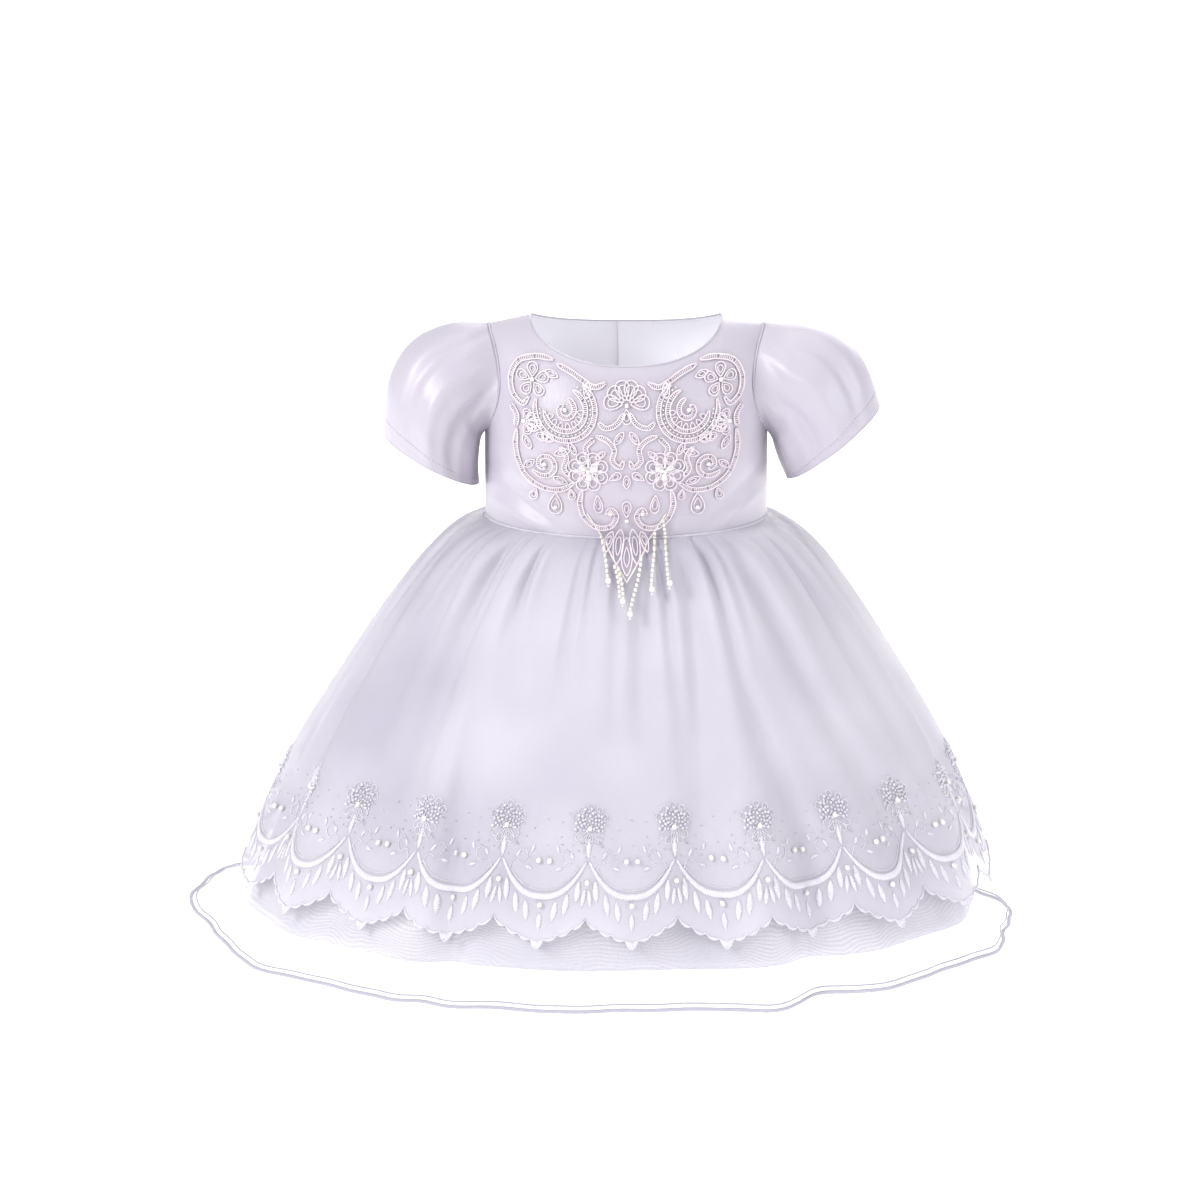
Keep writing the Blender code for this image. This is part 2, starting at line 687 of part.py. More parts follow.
def applique_holes():
    turns = 2 * math.pi * np.arange(HOLE_SIDES) / HOLE_SIDES
    holes = []
    for hole in APPLIQUE_HOLES:
        along = hole.radius * hole.stretch * np.cos(turns)
        beside = hole.radius * np.sin(turns)
        tilt = math.radians(hole.turn)
        x = along * math.cos(tilt) - beside * math.sin(tilt)
        z = along * math.sin(tilt) + beside * math.cos(tilt)
        loop = np.stack([hole.x + x, hole.z + z], axis=-1)
        holes.append(loop)
        if hole.x > 0:
            holes.append(loop * np.array([-1, 1]))
    return holes


def inside(points, loop):
    """Which points lie inside a closed loop, by the number of its edges to their right."""
    x, z = points[:, :1], points[:, 1:]
    start, end = loop, np.roll(loop, -1, axis=0)
    spans = (start[:, 1] > z) != (end[:, 1] > z)
    rise = np.where(end[:, 1] == start[:, 1], 1.0, end[:, 1] - start[:, 1])
    meets = start[:, 0] + (z - start[:, 1]) * (end[:, 0] - start[:, 0]) / rise
    return np.sum(spans & (x < meets), axis=1) % 2 == 1


def distance_to(points, loop):
    """Distance from points to a closed loop's nearest edge."""
    start, end = loop, np.roll(loop, -1, axis=0)
    span = end - start
    offset = points[:, None, :] - start
    share = np.sum(offset * span, axis=-1) / np.maximum(np.sum(span * span, axis=-1), 1e-12)
    nearest = start + np.clip(share, 0, 1)[..., None] * span
    return np.min(np.linalg.norm(points[:, None, :] - nearest, axis=-1), axis=1)


def add_applique():
    outline = applique_outline()
    holes = applique_holes()
    loops = [outline, *holes]
    across = np.arange(-7, 8) * APPLIQUE_STEP
    down = np.arange(LACE_LEAVES_Z, 0.0, APPLIQUE_STEP)
    near = (np.arange(-4, 4) + 0.5) * DROP_STEP
    low = np.arange(DROP_TIP_Z, LACE_LEAVES_Z - DROP_STEP / 2, DROP_STEP)
    lattice = [(x, z) for x in across for z in down] + [(x, z) for x in near for z in low]
    lattice = np.array(lattice)
    lattice = lattice[inside(lattice, outline)]
    for loop in loops:
        clear = (distance_to(lattice, loop) > CLEAR_OF_EDGE) & (inside(lattice, loop) == (loop is outline))
        lattice = lattice[clear]
    plan = np.concatenate([*loops, lattice])
    edges = []
    first = 0
    for loop in loops:
        count = len(loop)
        edges += [(first + k, first + (k + 1) % count) for k in range(count)]
        first += count
    vertices, _, triangles, *_ = delaunay_2d_cdt(plan.tolist(), edges, [], 0, 1e-6)
    flat = np.array([tuple(v) for v in vertices])
    triangles = np.array(triangles)
    middles = flat[triangles].mean(axis=1)
    kept = inside(middles, outline)
    for hole in holes:
        kept &= ~inside(middles, hole)
    triangles = triangles[kept]
    used, index = np.unique(triangles, return_inverse=True)
    triangles = index.reshape(-1, 3)
    flat = flat[used]
    low = lay_on_front(flat, APPLIQUE_GAP)
    high = lay_on_front(flat, APPLIQUE_GAP + APPLIQUE_THICKNESS)
    count = len(flat)
    sides = {}
    for a, b, c in triangles:
        for edge in ((a, b), (b, c), (c, a)):
            sides[edge] = True
    faces = [tuple(t) for t in triangles] + [tuple(count + i for i in reversed(t)) for t in triangles]
    for a, b in sides:
        if (b, a) not in sides:
            faces.append((b, a, count + a, count + b))
    add_object("bodice_applique", np.concatenate([low, high]), faces, LACE)


def add_bead_fringe():
    """A narrow V-shaped strip with strands drawn out of its lower side."""
    half = STRAND_WIDTH / 2
    # The strip passes the skirt's bend under the waist here
    bend_z = OVERSKIRT_RINGS[1].z + FRINGE_GAP + STRIP_HEIGHT / 2
    bend = DROP_HALF_WIDTH * (bend_z - DROP_TIP_Z) / (DROP_TOP_Z - DROP_TIP_Z)
    stations = {-DROP_HALF_WIDTH + half, DROP_HALF_WIDTH - half, 0.0, -bend, bend}
    for strand in STRANDS:
        stations |= {strand.x - half, strand.x + half}
    stations = sorted(stations)
    points, faces = [], []
    for x in stations:
        top = drop_height(x) - FRINGE_GAP
        low = top - STRIP_HEIGHT
        for z in (top, low):
            for out in (0.0, STRIP_THICKNESS):
                points.append((x, float(crest_surface(x, z)) - out, z))
    last = len(stations) - 1
    for k in range(last):
        a, b = 4 * k, 4 * (k + 1)
        faces.append((a, b, b + 1, a + 1))
        faces.append((a, a + 2, b + 2, b))
        faces.append((a + 1, b + 1, b + 3, a + 3))
        strand = next((s for s in STRANDS if abs(s.x - half - stations[k]) < 1e-9), None)
        foot = (a + 2, a + 3, b + 3, b + 2)
        if strand is None:
            faces.append(foot)
            continue
        root = drop_height(strand.x) - FRINGE_GAP - STRIP_HEIGHT
        for row in range(1, STRAND_ROWS + 1):
            share = row / STRAND_ROWS
            x = strand.x + strand.drift * share
            z = root - strand.length * share
            base = len(points)
            for beside, out in ((-half, 0.0), (-half, 1.0), (half, 1.0), (half, 0.0)):
                points.append((x + beside, float(crest_surface(x, z)) - out * STRIP_THICKNESS, z))
            ring = tuple(base + i for i in range(4))
            for i in range(4):
                j = (i + 1) % 4
                faces.append((foot[i], ring[i], ring[j], foot[j]))
            foot = ring
        faces.append(foot)
    faces.append((0, 1, 3, 2))
    end = 4 * last
    faces.append((end, end + 2, end + 3, end + 1))
    add_object("bead_fringe", points, faces, PEARL)


def main():
    clear_scene()
    front = add_bodice_front()
    back_left, back_right = add_bodice_backs()
    add_buttons()
    add_sleeve("sleeve_left", LEFT_SLEEVE, armhole_loop(front, back_left, 1), 1)
    add_sleeve("sleeve_right", RIGHT_SLEEVE, armhole_loop(front, back_right, -1), -1)
    add_skirt("overskirt", overskirt_grid(), ORGANZA)
    organza = organza_grid()
    add_skirt("organza_skirt", organza, ORGANZA)
    add_hem_cord(organza)
    add_skirt("satin_skirt", satin_grid(), SATIN)
    add_applique()
    add_bead_fringe()


main()
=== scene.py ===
"""The looks of a christening gown: satin, sheer organza, corded lace and beads.

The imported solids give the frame. Each sub-assembly below is a class that holds its sizes,
works its surfaces out as whole arrays and dresses them. Metres, +Z up, the front faces -Y
and the wearer's left is +X.
"""

from __future__ import annotations

import logging
import math
from collections.abc import Iterable
from dataclasses import astuple, dataclass, field, replace
from enum import Enum
from functools import cache

import bpy
import numpy as np
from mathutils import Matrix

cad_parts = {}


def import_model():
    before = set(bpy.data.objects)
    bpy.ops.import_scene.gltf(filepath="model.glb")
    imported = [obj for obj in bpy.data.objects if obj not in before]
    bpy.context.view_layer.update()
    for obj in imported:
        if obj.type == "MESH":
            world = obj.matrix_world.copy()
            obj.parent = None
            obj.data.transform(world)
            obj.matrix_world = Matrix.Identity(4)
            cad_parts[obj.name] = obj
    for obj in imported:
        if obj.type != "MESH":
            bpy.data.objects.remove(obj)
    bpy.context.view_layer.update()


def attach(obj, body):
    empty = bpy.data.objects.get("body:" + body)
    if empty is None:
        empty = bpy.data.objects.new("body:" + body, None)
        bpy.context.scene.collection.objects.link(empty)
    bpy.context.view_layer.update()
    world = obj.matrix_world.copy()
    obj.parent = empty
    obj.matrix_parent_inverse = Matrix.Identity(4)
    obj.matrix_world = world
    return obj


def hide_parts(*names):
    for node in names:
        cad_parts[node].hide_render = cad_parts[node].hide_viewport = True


LOG = logging.getLogger("gown")
TURN = 2 * math.pi
MM = 0.001
SEED = 20
WAVE = math.pi / 10  # the wave texture's period at a scale of 1
CORD_SIDES = 6
CORD_GIRTH = 0.01  # the way once round a cord, on its UV map
BEAD_SPAN = (0.0012, 0.0012)  # each sixth of a bead, on its UV map

Flat = tuple[float, float]
Triple = tuple[float, float, float]
Array = np.ndarray
Amount = Array | float
Socket = bpy.types.NodeSocket


# Numbers and curves


def unit(vectors: Array) -> Array:
    """Each vector divided by its length."""
    return vectors / np.maximum(np.linalg.norm(vectors, axis=-1, keepdims=True), 1e-12)


def bell(away: Array, width: Amount) -> Array:
    """A soft hump: e to the minus square of the distance over the width."""
    return np.exp(-((away / width) ** 2))


def ease(share: Array) -> Array:
    """A smooth step from 0 to 1: three squares less two cubes of the clipped share."""
    inside = np.clip(share, 0, 1)
    return inside * inside * (3 - 2 * inside)


def wrapped(angle: Array) -> Array:
    """The angle brought to between minus and plus half a turn."""
    return (angle + math.pi) % TURN - math.pi


def smooth_interp(at: Array, known: Array, values: Array) -> Array:
    """Monotone cubic through known rows of values.

    Each stretch is a Hermite cubic, whose end slopes are the harmonic means of the chord
    slopes on both sides, or nought where these change sign.

    Args:
        at: where to read, of any shape.
        known: rising stations, one for each row of values.
        values: rows of numbers, one column for each quantity.

    Returns:
        The quantities at each place, with one more axis than at.
    """
    gap = np.diff(known)
    slope = np.diff(values, axis=0) / gap[:, None]
    before, after = slope[:-1], slope[1:]
    same = before * after > 0
    inner = np.where(same, 2 * before * after / np.where(same, before + after, 1), 0)
    ends = np.concatenate([slope[:1], inner, slope[-1:]])
    at = np.clip(at, known[0], known[-1])
    cell = np.clip(np.searchsorted(known, at, side="right") - 1, 0, len(known) - 2)
    width = gap[cell][..., None]
    share = (at[..., None] - known[cell][..., None]) / width
    square, cube = share**2, share**3
    return (
        (2 * cube - 3 * square + 1) * values[cell]
        + (cube - 2 * square + share) * ends[cell] * width
        + (3 * square - 2 * cube) * values[cell + 1]
        + (cube - square) * ends[cell + 1] * width
    )


def lengths_along(path: Array) -> Array:
    """The path's length from its start to each of its points."""
    return np.concatenate([[0.0], np.cumsum(np.linalg.norm(np.diff(path, axis=0), axis=1))])


def evenly(curve: Array, count: int) -> Array:
    """A curve read again at points spaced evenly by length.

    Args:
        curve: its points, one row each.
        count: how many points to read.

    Returns:
        The new points.
    """
    length = lengths_along(curve)
    wanted = np.linspace(0, length[-1], count)
    return np.stack([np.interp(wanted, length, column) for column in curve.T], axis=-1)


def smooth_path(anchors: list[Flat], count: int) -> Array:
    """A Catmull-Rom curve through flat anchors, read at evenly spaced lengths.

    Args:
        anchors: the places that the curve passes through.
        count: how many points to read.

    Returns:
        Points of the flat curve, one row each.
    """
    readings = 40  # for each anchor, from which the even ones are taken
    known = np.array(anchors, float)
    padded = np.concatenate([2 * known[:1] - known[1:2], known, 2 * known[-1:] - known[-2:-1]])
    fine = np.linspace(0, len(known) - 1, readings * len(known))
    cell = np.minimum(fine.astype(int), len(known) - 2)
    share = (fine - cell)[:, None]
    a, b, c, d = (padded[cell + k] for k in range(4))
    curve = b + share / 2 * (c - a + share * (2 * a - 5 * b + 4 * c - d + share * (3 * (b - c) + d - a)))
    return evenly(curve, count)


def ahead_of(path: Array, closed: bool = False) -> Array:
    """Unit directions along a path, at each point from the one before to the one after.

    Args:
        path: its points, flat or in space.
        closed: whether it is a loop.

    Returns:
        A direction for each point.
    """
    if closed:
        return unit(np.roll(path, -1, axis=0) - np.roll(path, 1, axis=0))
    return unit(np.gradient(path, axis=0))


def left_of(ahead: Array) -> Array:
    """Flat directions, each turned anticlockwise by a right angle."""
    return np.stack([-ahead[:, 1], ahead[:, 0]], axis=-1)


def towards(origin: Flat, distance: float, aim: float) -> Flat:
    """The place at a distance from an origin, in a direction that is given in degrees."""
    turn = math.radians(aim)
    return origin[0] + distance * math.cos(turn), origin[1] + distance * math.sin(turn)


def spiral(centre: Flat, outer: float, inner: float, start: float, turns: float) -> Array:
    """A volute: its radius goes from outer to inner by a power of the share along it.

    Args:
        centre: the middle of the volute.
        outer: its first radius.
        inner: its last radius.
        start: the first point's angle in degrees.
        turns: how many turns it makes, counted anticlockwise if positive.

    Returns:
        Points of the flat curve.
    """
    share = np.linspace(0, 1, max(12, int(abs(turns) * 40)))
    angle = math.radians(start) + TURN * turns * share
    radius = outer + (inner - outer) * share**0.8
    return np.stack([centre[0] + radius * np.cos(angle), centre[1] + radius * np.sin(angle)], axis=-1)


def aimed(foot: Flat, along: Array, beside: Array, aim: float) -> Array:
    """Flat points, each by its distance from the foot along a direction and to its left.

    Args:
        foot: where the distances start.
        along: distances along the direction.
        beside: distances to the left of it.
        aim: the direction in degrees.

    Returns:
        The points, one row each.
    """
    turn = math.radians(aim)
    x = along * math.cos(turn) - beside * math.sin(turn)
    z = along * math.sin(turn) + beside * math.cos(turn)
    return np.stack([foot[0] + x, foot[1] + z], axis=-1)


def teardrop(tip: Flat, length: float, width: float, aim: float, count: int = 26) -> Array:
    """A closed drop: one less a cosine along, and a sine times the sine of half its angle across.

    Args:
        tip: the pointed end.
        length: from the tip to the round end.
        width: across the round end.
        aim: direction from the tip to the round end, in degrees.
        count: points round it.

    Returns:
        Points of the flat loop, without the first one repeated.
    """
    fullness = 0.62  # brings the widest place to about the width
    angle = np.arange(count) / count * TURN
    beside = fullness * width * np.sin(angle) * np.abs(np.sin(angle / 2))
    return aimed(tip, length * (1 - np.cos(angle)) / 2, beside, aim)


def leaf_outline(foot: Flat, length: float, width: float, aim: float, count: int = 22) -> Array:
    """A closed leaf, pointed at both ends: one less a cosine along, and a power of a sine across.

    Args:
        foot: the end where it grows.
        length: from the foot to the tip.
        width: across its middle.
        aim: direction from the foot to the tip, in degrees.
        count: points round it.

    Returns:
        Points of the flat loop, without the first one repeated.
    """
    point = 1.6  # the power, which draws the ends out
    angle = np.arange(count) / count * TURN
    beside = 0.5 * width * np.sign(np.sin(angle)) * np.abs(np.sin(angle)) ** point
    return aimed(foot, length * (1 - np.cos(angle)) / 2, beside, aim)


# Meshes


@dataclass
class Shape:
    """Quads with their points and, for each corner of each quad, a place on the UV map."""

    points: Array
    quads: Array
    corners: Array

    @staticmethod
    def joined(parts: list[Shape]) -> Shape:
        """All parts as one shape, each part's quads counted on from the last part's.

        Args:
            parts: the shapes to join.

        Returns:
            The whole.
        """
        starts = np.cumsum([0] + [len(part.points) for part in parts[:-1]])
        return Shape(
            np.concatenate([part.points for part in parts]),
            np.concatenate([part.quads + start for part, start in zip(parts, starts)]),
            np.concatenate([part.corners for part in parts]),
        )

    def copied(self, places: Array, sizes: Amount | Triple) -> Shape:
        """One copy at each place, stretched by its size along each axis.

        Args:
            places: a row of three coordinates for each copy.
            sizes: one size, one for each axis, or a row of one or three for each copy.

        Returns:
            All copies as one shape.
        """
        count = len(places)
        stretch = np.broadcast_to(sizes, (count, 3))[:, None, :]
        points = self.points[None] * stretch + places[:, None, :]
        quads = self.quads[None] + len(self.points) * np.arange(count)[:, None, None]
        corners = np.broadcast_to(self.corners, (count, *self.corners.shape))
        return Shape(points.reshape(-1, 3), quads.reshape(-1, 4), corners.reshape(-1, 4, 2))

    def flipped(self) -> Shape:
        """The shape with its faces turned to the other side."""
        return Shape(self.points, self.quads[:, ::-1], self.corners[:, ::-1])

    def mirrored(self) -> Shape:
        """The shape with its first coordinate negated, its faces still outwards."""
        return replace(self, points=self.points * np.array([-1, 1, 1])).flipped()


def cells(rows: int, columns: int) -> Array:
    """The row of each cell of a grid, and under it the cell's column."""
    return np.indices((rows, columns)).reshape(2, -1)


def grid_shape(points: Array, span: Flat, closed: bool = False) -> Shape:
    """A sheet of quads on a grid of points.

    Args:
        points: rows by columns by three, the rows going down and the columns to the right
            as the outside of the sheet is seen.
        span: the sheet's width and height in metres, for its UV map.
        closed: whether the last column is joined to the first.

    Returns:
        The sheet as a shape, facing the side that it is seen from.
    """
    rows, columns = points.shape[:2]
    spans = columns if closed else columns - 1
    row, column = cells(rows - 1, spans)
    steps = ((1, 0), (1, 1), (0, 1), (0, 0))
    quads = np.stack([(row + down) * columns + (column + right) % columns for down, right in steps], axis=-1)
    corners = [
        np.stack([(column + right) / spans * span[0], (row + down) / (rows - 1) * span[1]], axis=-1)
        for down, right in steps
    ]
    return Shape(points.reshape(-1, 3), quads, np.stack(corners, axis=1))


def tube(
    path: Array,
    half_width: Amount,
    half_height: Amount,
    lift: float,
    sides: int = CORD_SIDES,
    closed: bool = False,
) -> Shape:
    """A cord of oval section carried along a flat path, in the flat space of a pattern.

    Args:
        path: points across and up.
        half_width: half of the section in the pattern's plane, one or one a point.
        half_height: half of the section out of the plane, one or one a point.
        lift: how far the section's centre lies off the cloth.
        sides: how many sides the section has, an even number.
        closed: whether the path is a loop.

    Returns:
        A closed shape, whose UV map runs along and round the cord.
    """
    count = len(path)
    beside = left_of(ahead_of(path, closed))
    turn = TURN * (np.arange(sides) + 0.5) / sides
    across = np.broadcast_to(half_width, count)[:, None] * np.cos(turn)
    out = np.broadcast_to(half_height, count)[:, None] * np.sin(turn) + lift
    flat = path[:, None, :] + across[..., None] * beside[:, None, :]
    points = np.concatenate([flat, out[..., None]], axis=-1).reshape(-1, 3)
    ring, side = cells(count if closed else count - 1, sides)
    steps = ((0, 0), (0, 1), (1, 1), (1, 0))
    quads = np.stack([(ring + on) % count * sides + (side + by) % sides for on, by in steps], axis=-1)
    length = lengths_along(path)
    length = np.append(length, length[-1] + np.linalg.norm(path[0] - path[-1]))
    round_it = [np.stack([length[ring + on], (side + by) / sides * CORD_GIRTH], axis=-1) for on, by in steps]
    corners = np.stack(round_it, axis=1)
    if not closed:
        cap = np.array([[0, k, k + 1, k + 2] for k in range(1, sides - 2, 2)])
        quads = np.concatenate([quads, cap[:, ::-1], cap + (count - 1) * sides])
        corners = np.concatenate([corners, np.zeros((2 * len(cap), 4, 2))])
    return Shape(points, quads, corners)


def round_cord(line: Array, first: Array, second: Array, radius: float, closed: bool) -> Shape:
    """A round cord along a line in space: at each point a circle between two directions.

    Args:
        line: the points that it follows.
        first: a unit direction across the line at each point.
        second: the unit direction across the line and the first one.
        radius: the cord's radius.
        closed: whether the line is a loop.

    Returns:
        The cord, facing outwards where the line, first and second are right-handed in turn.
    """
    turn = TURN * np.arange(CORD_SIDES) / CORD_SIDES
    around = np.cos(turn)[None, :, None] * first[:, None] + np.sin(turn)[None, :, None] * second[:, None]
    points = (line[:, None] + radius * around).reshape(-1, 3)
    return replace(tube(line[:, :2], radius, radius, 0.0, closed=closed), points=points)


def swell(count: int, least: float) -> Array:
    """Shares of a full width along a tapered stitch: a power of a sine, never under the least."""
    return np.maximum(least, np.sin(np.linspace(0, math.pi, count)) ** 0.7)


def ball(divisions: int) -> Shape:
    """A round bead of unit radius: the faces of a cube, divided, with each point pushed out.

    Args:
        divisions: how many quads lie along each edge of the cube.

    Returns:
        The bead, each of its points once.
    """
    spread = 0.18  # moves points towards the cube's edges, which evens the quads out
    edge = np.linspace(-1, 1, divisions + 1)
    u, v = np.meshgrid(edge, edge, indexing="ij")
    sides = []
    for axis in range(3):
        for sign in (1, -1):
            order = [np.full_like(u, sign), u, v * sign]
            side = np.stack([order[(k - axis) % 3] for k in range(3)], axis=-1)
            sides.append(grid_shape(side, BEAD_SPAN))
    raw = Shape.joined(sides)
    kept, index = np.unique(np.round(raw.points, 6), axis=0, return_inverse=True)
    points = unit(kept * (1 + spread * (1 - np.abs(kept))))
    quads = index.reshape(-1)[raw.quads]
    a, b, d = (points[quads[:, k]] for k in (0, 1, 3))
    inward = np.sum(np.cross(b - a, d - a) * a, axis=1) < 0
    quads[inward] = quads[inward][:, ::-1]
    return Shape(points, quads, raw.corners)


# Finishes


class Slot(Enum):
    """Names of material slots, which no piece here is given."""

    SATIN = "satin"
    ORGANZA = "organza"
    LACE = "lace"
    PEARL = "pearl"


class Laid(Enum):
    """What a pattern follows: the gown's own space, or the UV map of a cloth or cord."""

    SPACE = "Object"
    CLOTH = "UV"


class Run(Enum):
    """The direction of a pattern along which its bands follow each other."""

    ALONG = "X"
    UP = "Y"
    TWILL = "DIAGONAL"


class NodeGraph:
    """A material's node tree, built up node by node round its Principled shader."""

    middle: Flat = (0.30, 0.70)  # the shares between which a tint changes

    def __init__(self, name: str) -> None:
        """Starts a material that holds a shader and an output.

        Args:
            name: the material's name.
        """
        self.material = bpy.data.materials.new(name)
        self.material.use_nodes = True
        self.tree = self.material.node_tree
        self.shader = self.tree.nodes["Principled BSDF"]

    def node(self, kind: str, inputs: dict[str | int, object], **settings: object) -> bpy.types.Node:
        """Adds a node.

        Args:
            kind: its type.
            inputs: for some of its inputs, the output that feeds each or its value.
            settings: its properties.

        Returns:
            The new node.
        """
        made = self.tree.nodes.new(kind)
        for name, value in settings.items():
            setattr(made, name, value)
        for name, value in inputs.items():
            if isinstance(value, Socket):
                self.tree.links.new(value, made.inputs[name])
            else:
                made.inputs[name].default_value = value
        return made

    def place(self, laid: Laid, stretch: Triple = (1.0, 1.0, 1.0)) -> Socket:
        """Coordinates in space or on the cloth, multiplied by a stretch along each axis."""
        source = self.node("ShaderNodeTexCoord", {}).outputs[laid.value]
        return self.node("ShaderNodeMapping", {"Vector": source, "Scale": stretch}).outputs["Vector"]

    def noise(self, vector: Socket, scale: float, detail: float) -> Socket:
        """Cloudy noise from 0 to 1."""
        inputs = {"Vector": vector, "Scale": scale, "Detail": detail}
        return self.node("ShaderNodeTexNoise", inputs).outputs["Fac"]

    def bands(self, vector: Socket, scale: float, run: Run, wobble: float, swing: float = 1.0) -> Socket:
        """Sine bands that wander.

        Args:
            vector: the coordinates that they are laid over.
            scale: how close they lie, a period being WAVE over the scale.
            run: the way they run.
            wobble: how far they wander.
            swing: how often they do.

        Returns:
            A share from 0 to 1.
        """
        inputs = {"Vector": vector, "Scale": scale, "Distortion": wobble}
        inputs |= {"Detail": 1.0, "Detail Scale": swing}
        return self.node("ShaderNodeTexWave", inputs, bands_direction=run.value).outputs["Fac"]

    def added(self, first: Socket, second: Socket, share: float) -> Socket:
        """The first number plus the second times a share."""
        inputs = {0: second, 1: share, 2: first}
        return self.node("ShaderNodeMath", inputs, operation="MULTIPLY_ADD").outputs[0]

    def tint(self, share: Socket, dark: Triple, light: Triple) -> None:
        """Colours the shader between two tints, a share being stretched over its middle part.

        Args:
            share: a number from 0 to 1.
            dark: the colour at the low end of the middle part.
            light: the colour at its high end.
        """
        ramp = self.node("ShaderNodeValToRGB", {"Fac": share})
        for stop, position, colour in zip(ramp.color_ramp.elements, self.middle, (dark, light)):
            stop.position = position
            stop.color = (*colour, 1.0)
        self.tree.links.new(ramp.outputs["Color"], self.shader.inputs["Base Color"])

    def rough(self, share: Socket, low: float, high: float) -> None:
        """Lets the roughness follow a share from 0 to 1."""
        span = self.node("ShaderNodeMapRange", {"Value": share, "To Min": low, "To Max": high})
        self.tree.links.new(span.outputs["Result"], self.shader.inputs["Roughness"])

    def relief(self, height: Socket, depth: float, strength: float) -> None:
        """Bumps the surface by a height from 0 to 1, times a depth in metres."""
        bump = self.node("ShaderNodeBump", {"Height": height, "Distance": depth, "Strength": strength})
        self.tree.links.new(bump.outputs["Normal"], self.shader.inputs["Normal"])

    def plain(self, **values: float | tuple[float, ...]) -> None:
        """Sets the shader's own sockets, a name's underscores standing for spaces."""
        for name, value in values.items():
            self.shader.inputs[name.replace("_", " ")].default_value = value


@dataclass(frozen=True)
class Finish:
    """What a piece is made of, between a light and a dark tint."""

    name: str
    light: Triple
    dark: Triple

    def dress(self, graph: NodeGraph) -> Socket:
        """Gives the shader its surface, and returns the share between the two tints."""
        raise NotImplementedError

    @cache
    def material(self) -> bpy.types.Material:
        """The finish's surface and, over that, its tints, made once.

        Returns:
            The material.
        """
        graph = NodeGraph(self.name)
        graph.tint(self.dress(graph), self.dark, self.light)
        return graph.material


@dataclass(frozen=True)
class Satin(Finish):
    """Duchess satin: long floats that shine, with faint slubs along the warp."""

    roughness: float = 0.36
    sheen: float = 0.25
    moire: float = 0.0
    slubs: Triple = (1500.0, 110.0, 1.0)
    twill: float = 620.0
    relief: float = 0.00035

    def dress(self, graph: NodeGraph) -> Socket:
        """Slubs and a fine twill under a cloudy tint of painted light and shade, and moire where it lies
        under organza.

        Args:
            graph: the material's nodes.

        Returns:
            The share between the two tints.
        """
        body, cloth = graph.place(Laid.SPACE), graph.place(Laid.CLOTH)
        slub = graph.noise(graph.place(Laid.CLOTH, self.slubs), 1.0, 2)
        twill = graph.bands(cloth, self.twill, Run.TWILL, 0.4)
        height = graph.added(graph.added(slub, twill, 0.25), graph.noise(body, 60, 2), 1.6)
        graph.relief(height, self.relief, 0.35)
        graph.rough(slub, self.roughness - 0.06, self.roughness + 0.08)
        graph.plain(Sheen_Weight=self.sheen, Sheen_Roughness=0.35, Specular_IOR_Level=0.55)
        # painted light and shade: soft clouds in the tint, which on the skirt satin stand in for the shade
        # of its folds seen through the organza
        cloud = graph.noise(body, 14, 2)
        if not self.moire:
            return cloud
        watered = graph.bands(cloth, WAVE / self.moire, Run.UP, 34.0, 0.20)
        return graph.added(cloud, watered, -0.28)


@dataclass(frozen=True)
class Organza(Finish):
    """Sheer crisp organza: a plain weave that is seen through."""

    alpha: float
    threads: float = 1100.0
    relief: float = 0.0003

    def dress(self, graph: NodeGraph) -> Socket:
        """Crossed threads under a grained tint whose soft clouds are painted light and shade, and an even
        see-through.

        Args:
            graph: the material's nodes.

        Returns:
            The share between the two tints.
        """
        body, cloth = graph.place(Laid.SPACE), graph.place(Laid.CLOTH)
        warp = graph.bands(cloth, self.threads, Run.ALONG, 0.3)
        weft = graph.bands(cloth, self.threads, Run.UP, 0.3)
        height = graph.added(graph.added(warp, weft, 1.0), graph.noise(body, 240, 2), 1.4)
        graph.relief(height, self.relief, 0.4)
        graph.plain(Alpha=self.alpha, Roughness=0.42, Sheen_Weight=0.35, Sheen_Roughness=0.3)
        graph.plain(Specular_IOR_Level=0.45)
        graph.material.use_transparency_overlap = True
        # painted light and shade: the soft clouds brighten and darken the tint, which on the overskirt
        # stands in for the satin's glow seen through it; the fine grain is the cloth's own
        return graph.added(graph.noise(body, 9, 2), graph.noise(body, 900, 1), 0.10)


@dataclass(frozen=True)
class Thread(Finish):
    """Embroidery thread: stitches lie across the cord and catch the light one by one."""

    stitch: float = 0.0014
    roughness: float = 0.46
    relief: float = 0.0004

    def dress(self, graph: NodeGraph) -> Socket:
        """Bands a stitch apart along the cord's UV map, in the relief and, as painted shade between the
        stitches, in the tint.

        Args:
            graph: the material's nodes.

        Returns:
            The share between the two tints.
        """
        body, cord = graph.place(Laid.SPACE), graph.place(Laid.CLOTH)
        stitches = graph.bands(cord, WAVE / self.stitch, Run.ALONG, 0.6)
        graph.relief(graph.added(stitches, graph.noise(body, 700, 1), 0.3), self.relief, 0.8)
        graph.plain(Roughness=self.roughness, Sheen_Weight=0.3, Sheen_Roughness=0.4)
        # painted shade: the tint darkens between the stitches, with the cloth's own random tone over it
        return graph.added(graph.noise(body, 300, 1), stitches, 0.55)


@dataclass(frozen=True)
class Pearl(Finish):
    """Imitation pearl or glass bead under a clear lustre coat."""

    roughness: float = 0.2
    sheen: float = 0.2
    relief: float = 0.0001

    def dress(self, graph: NodeGraph) -> Socket:
        """A cloudy orient under a smooth coat.

        Args:
            graph: the material's nodes.

        Returns:
            The share between the two tints.
        """
        body = graph.place(Laid.SPACE)
        cloud = graph.noise(body, 420, 2)
        graph.rough(cloud, self.roughness - 0.05, self.roughness + 0.06)
        graph.relief(graph.noise(body, 1600, 1), self.relief, 0.15)
        graph.plain(Coat_Weight=0.8, Coat_Roughness=0.06, Sheen_Weight=self.sheen)
        return cloud


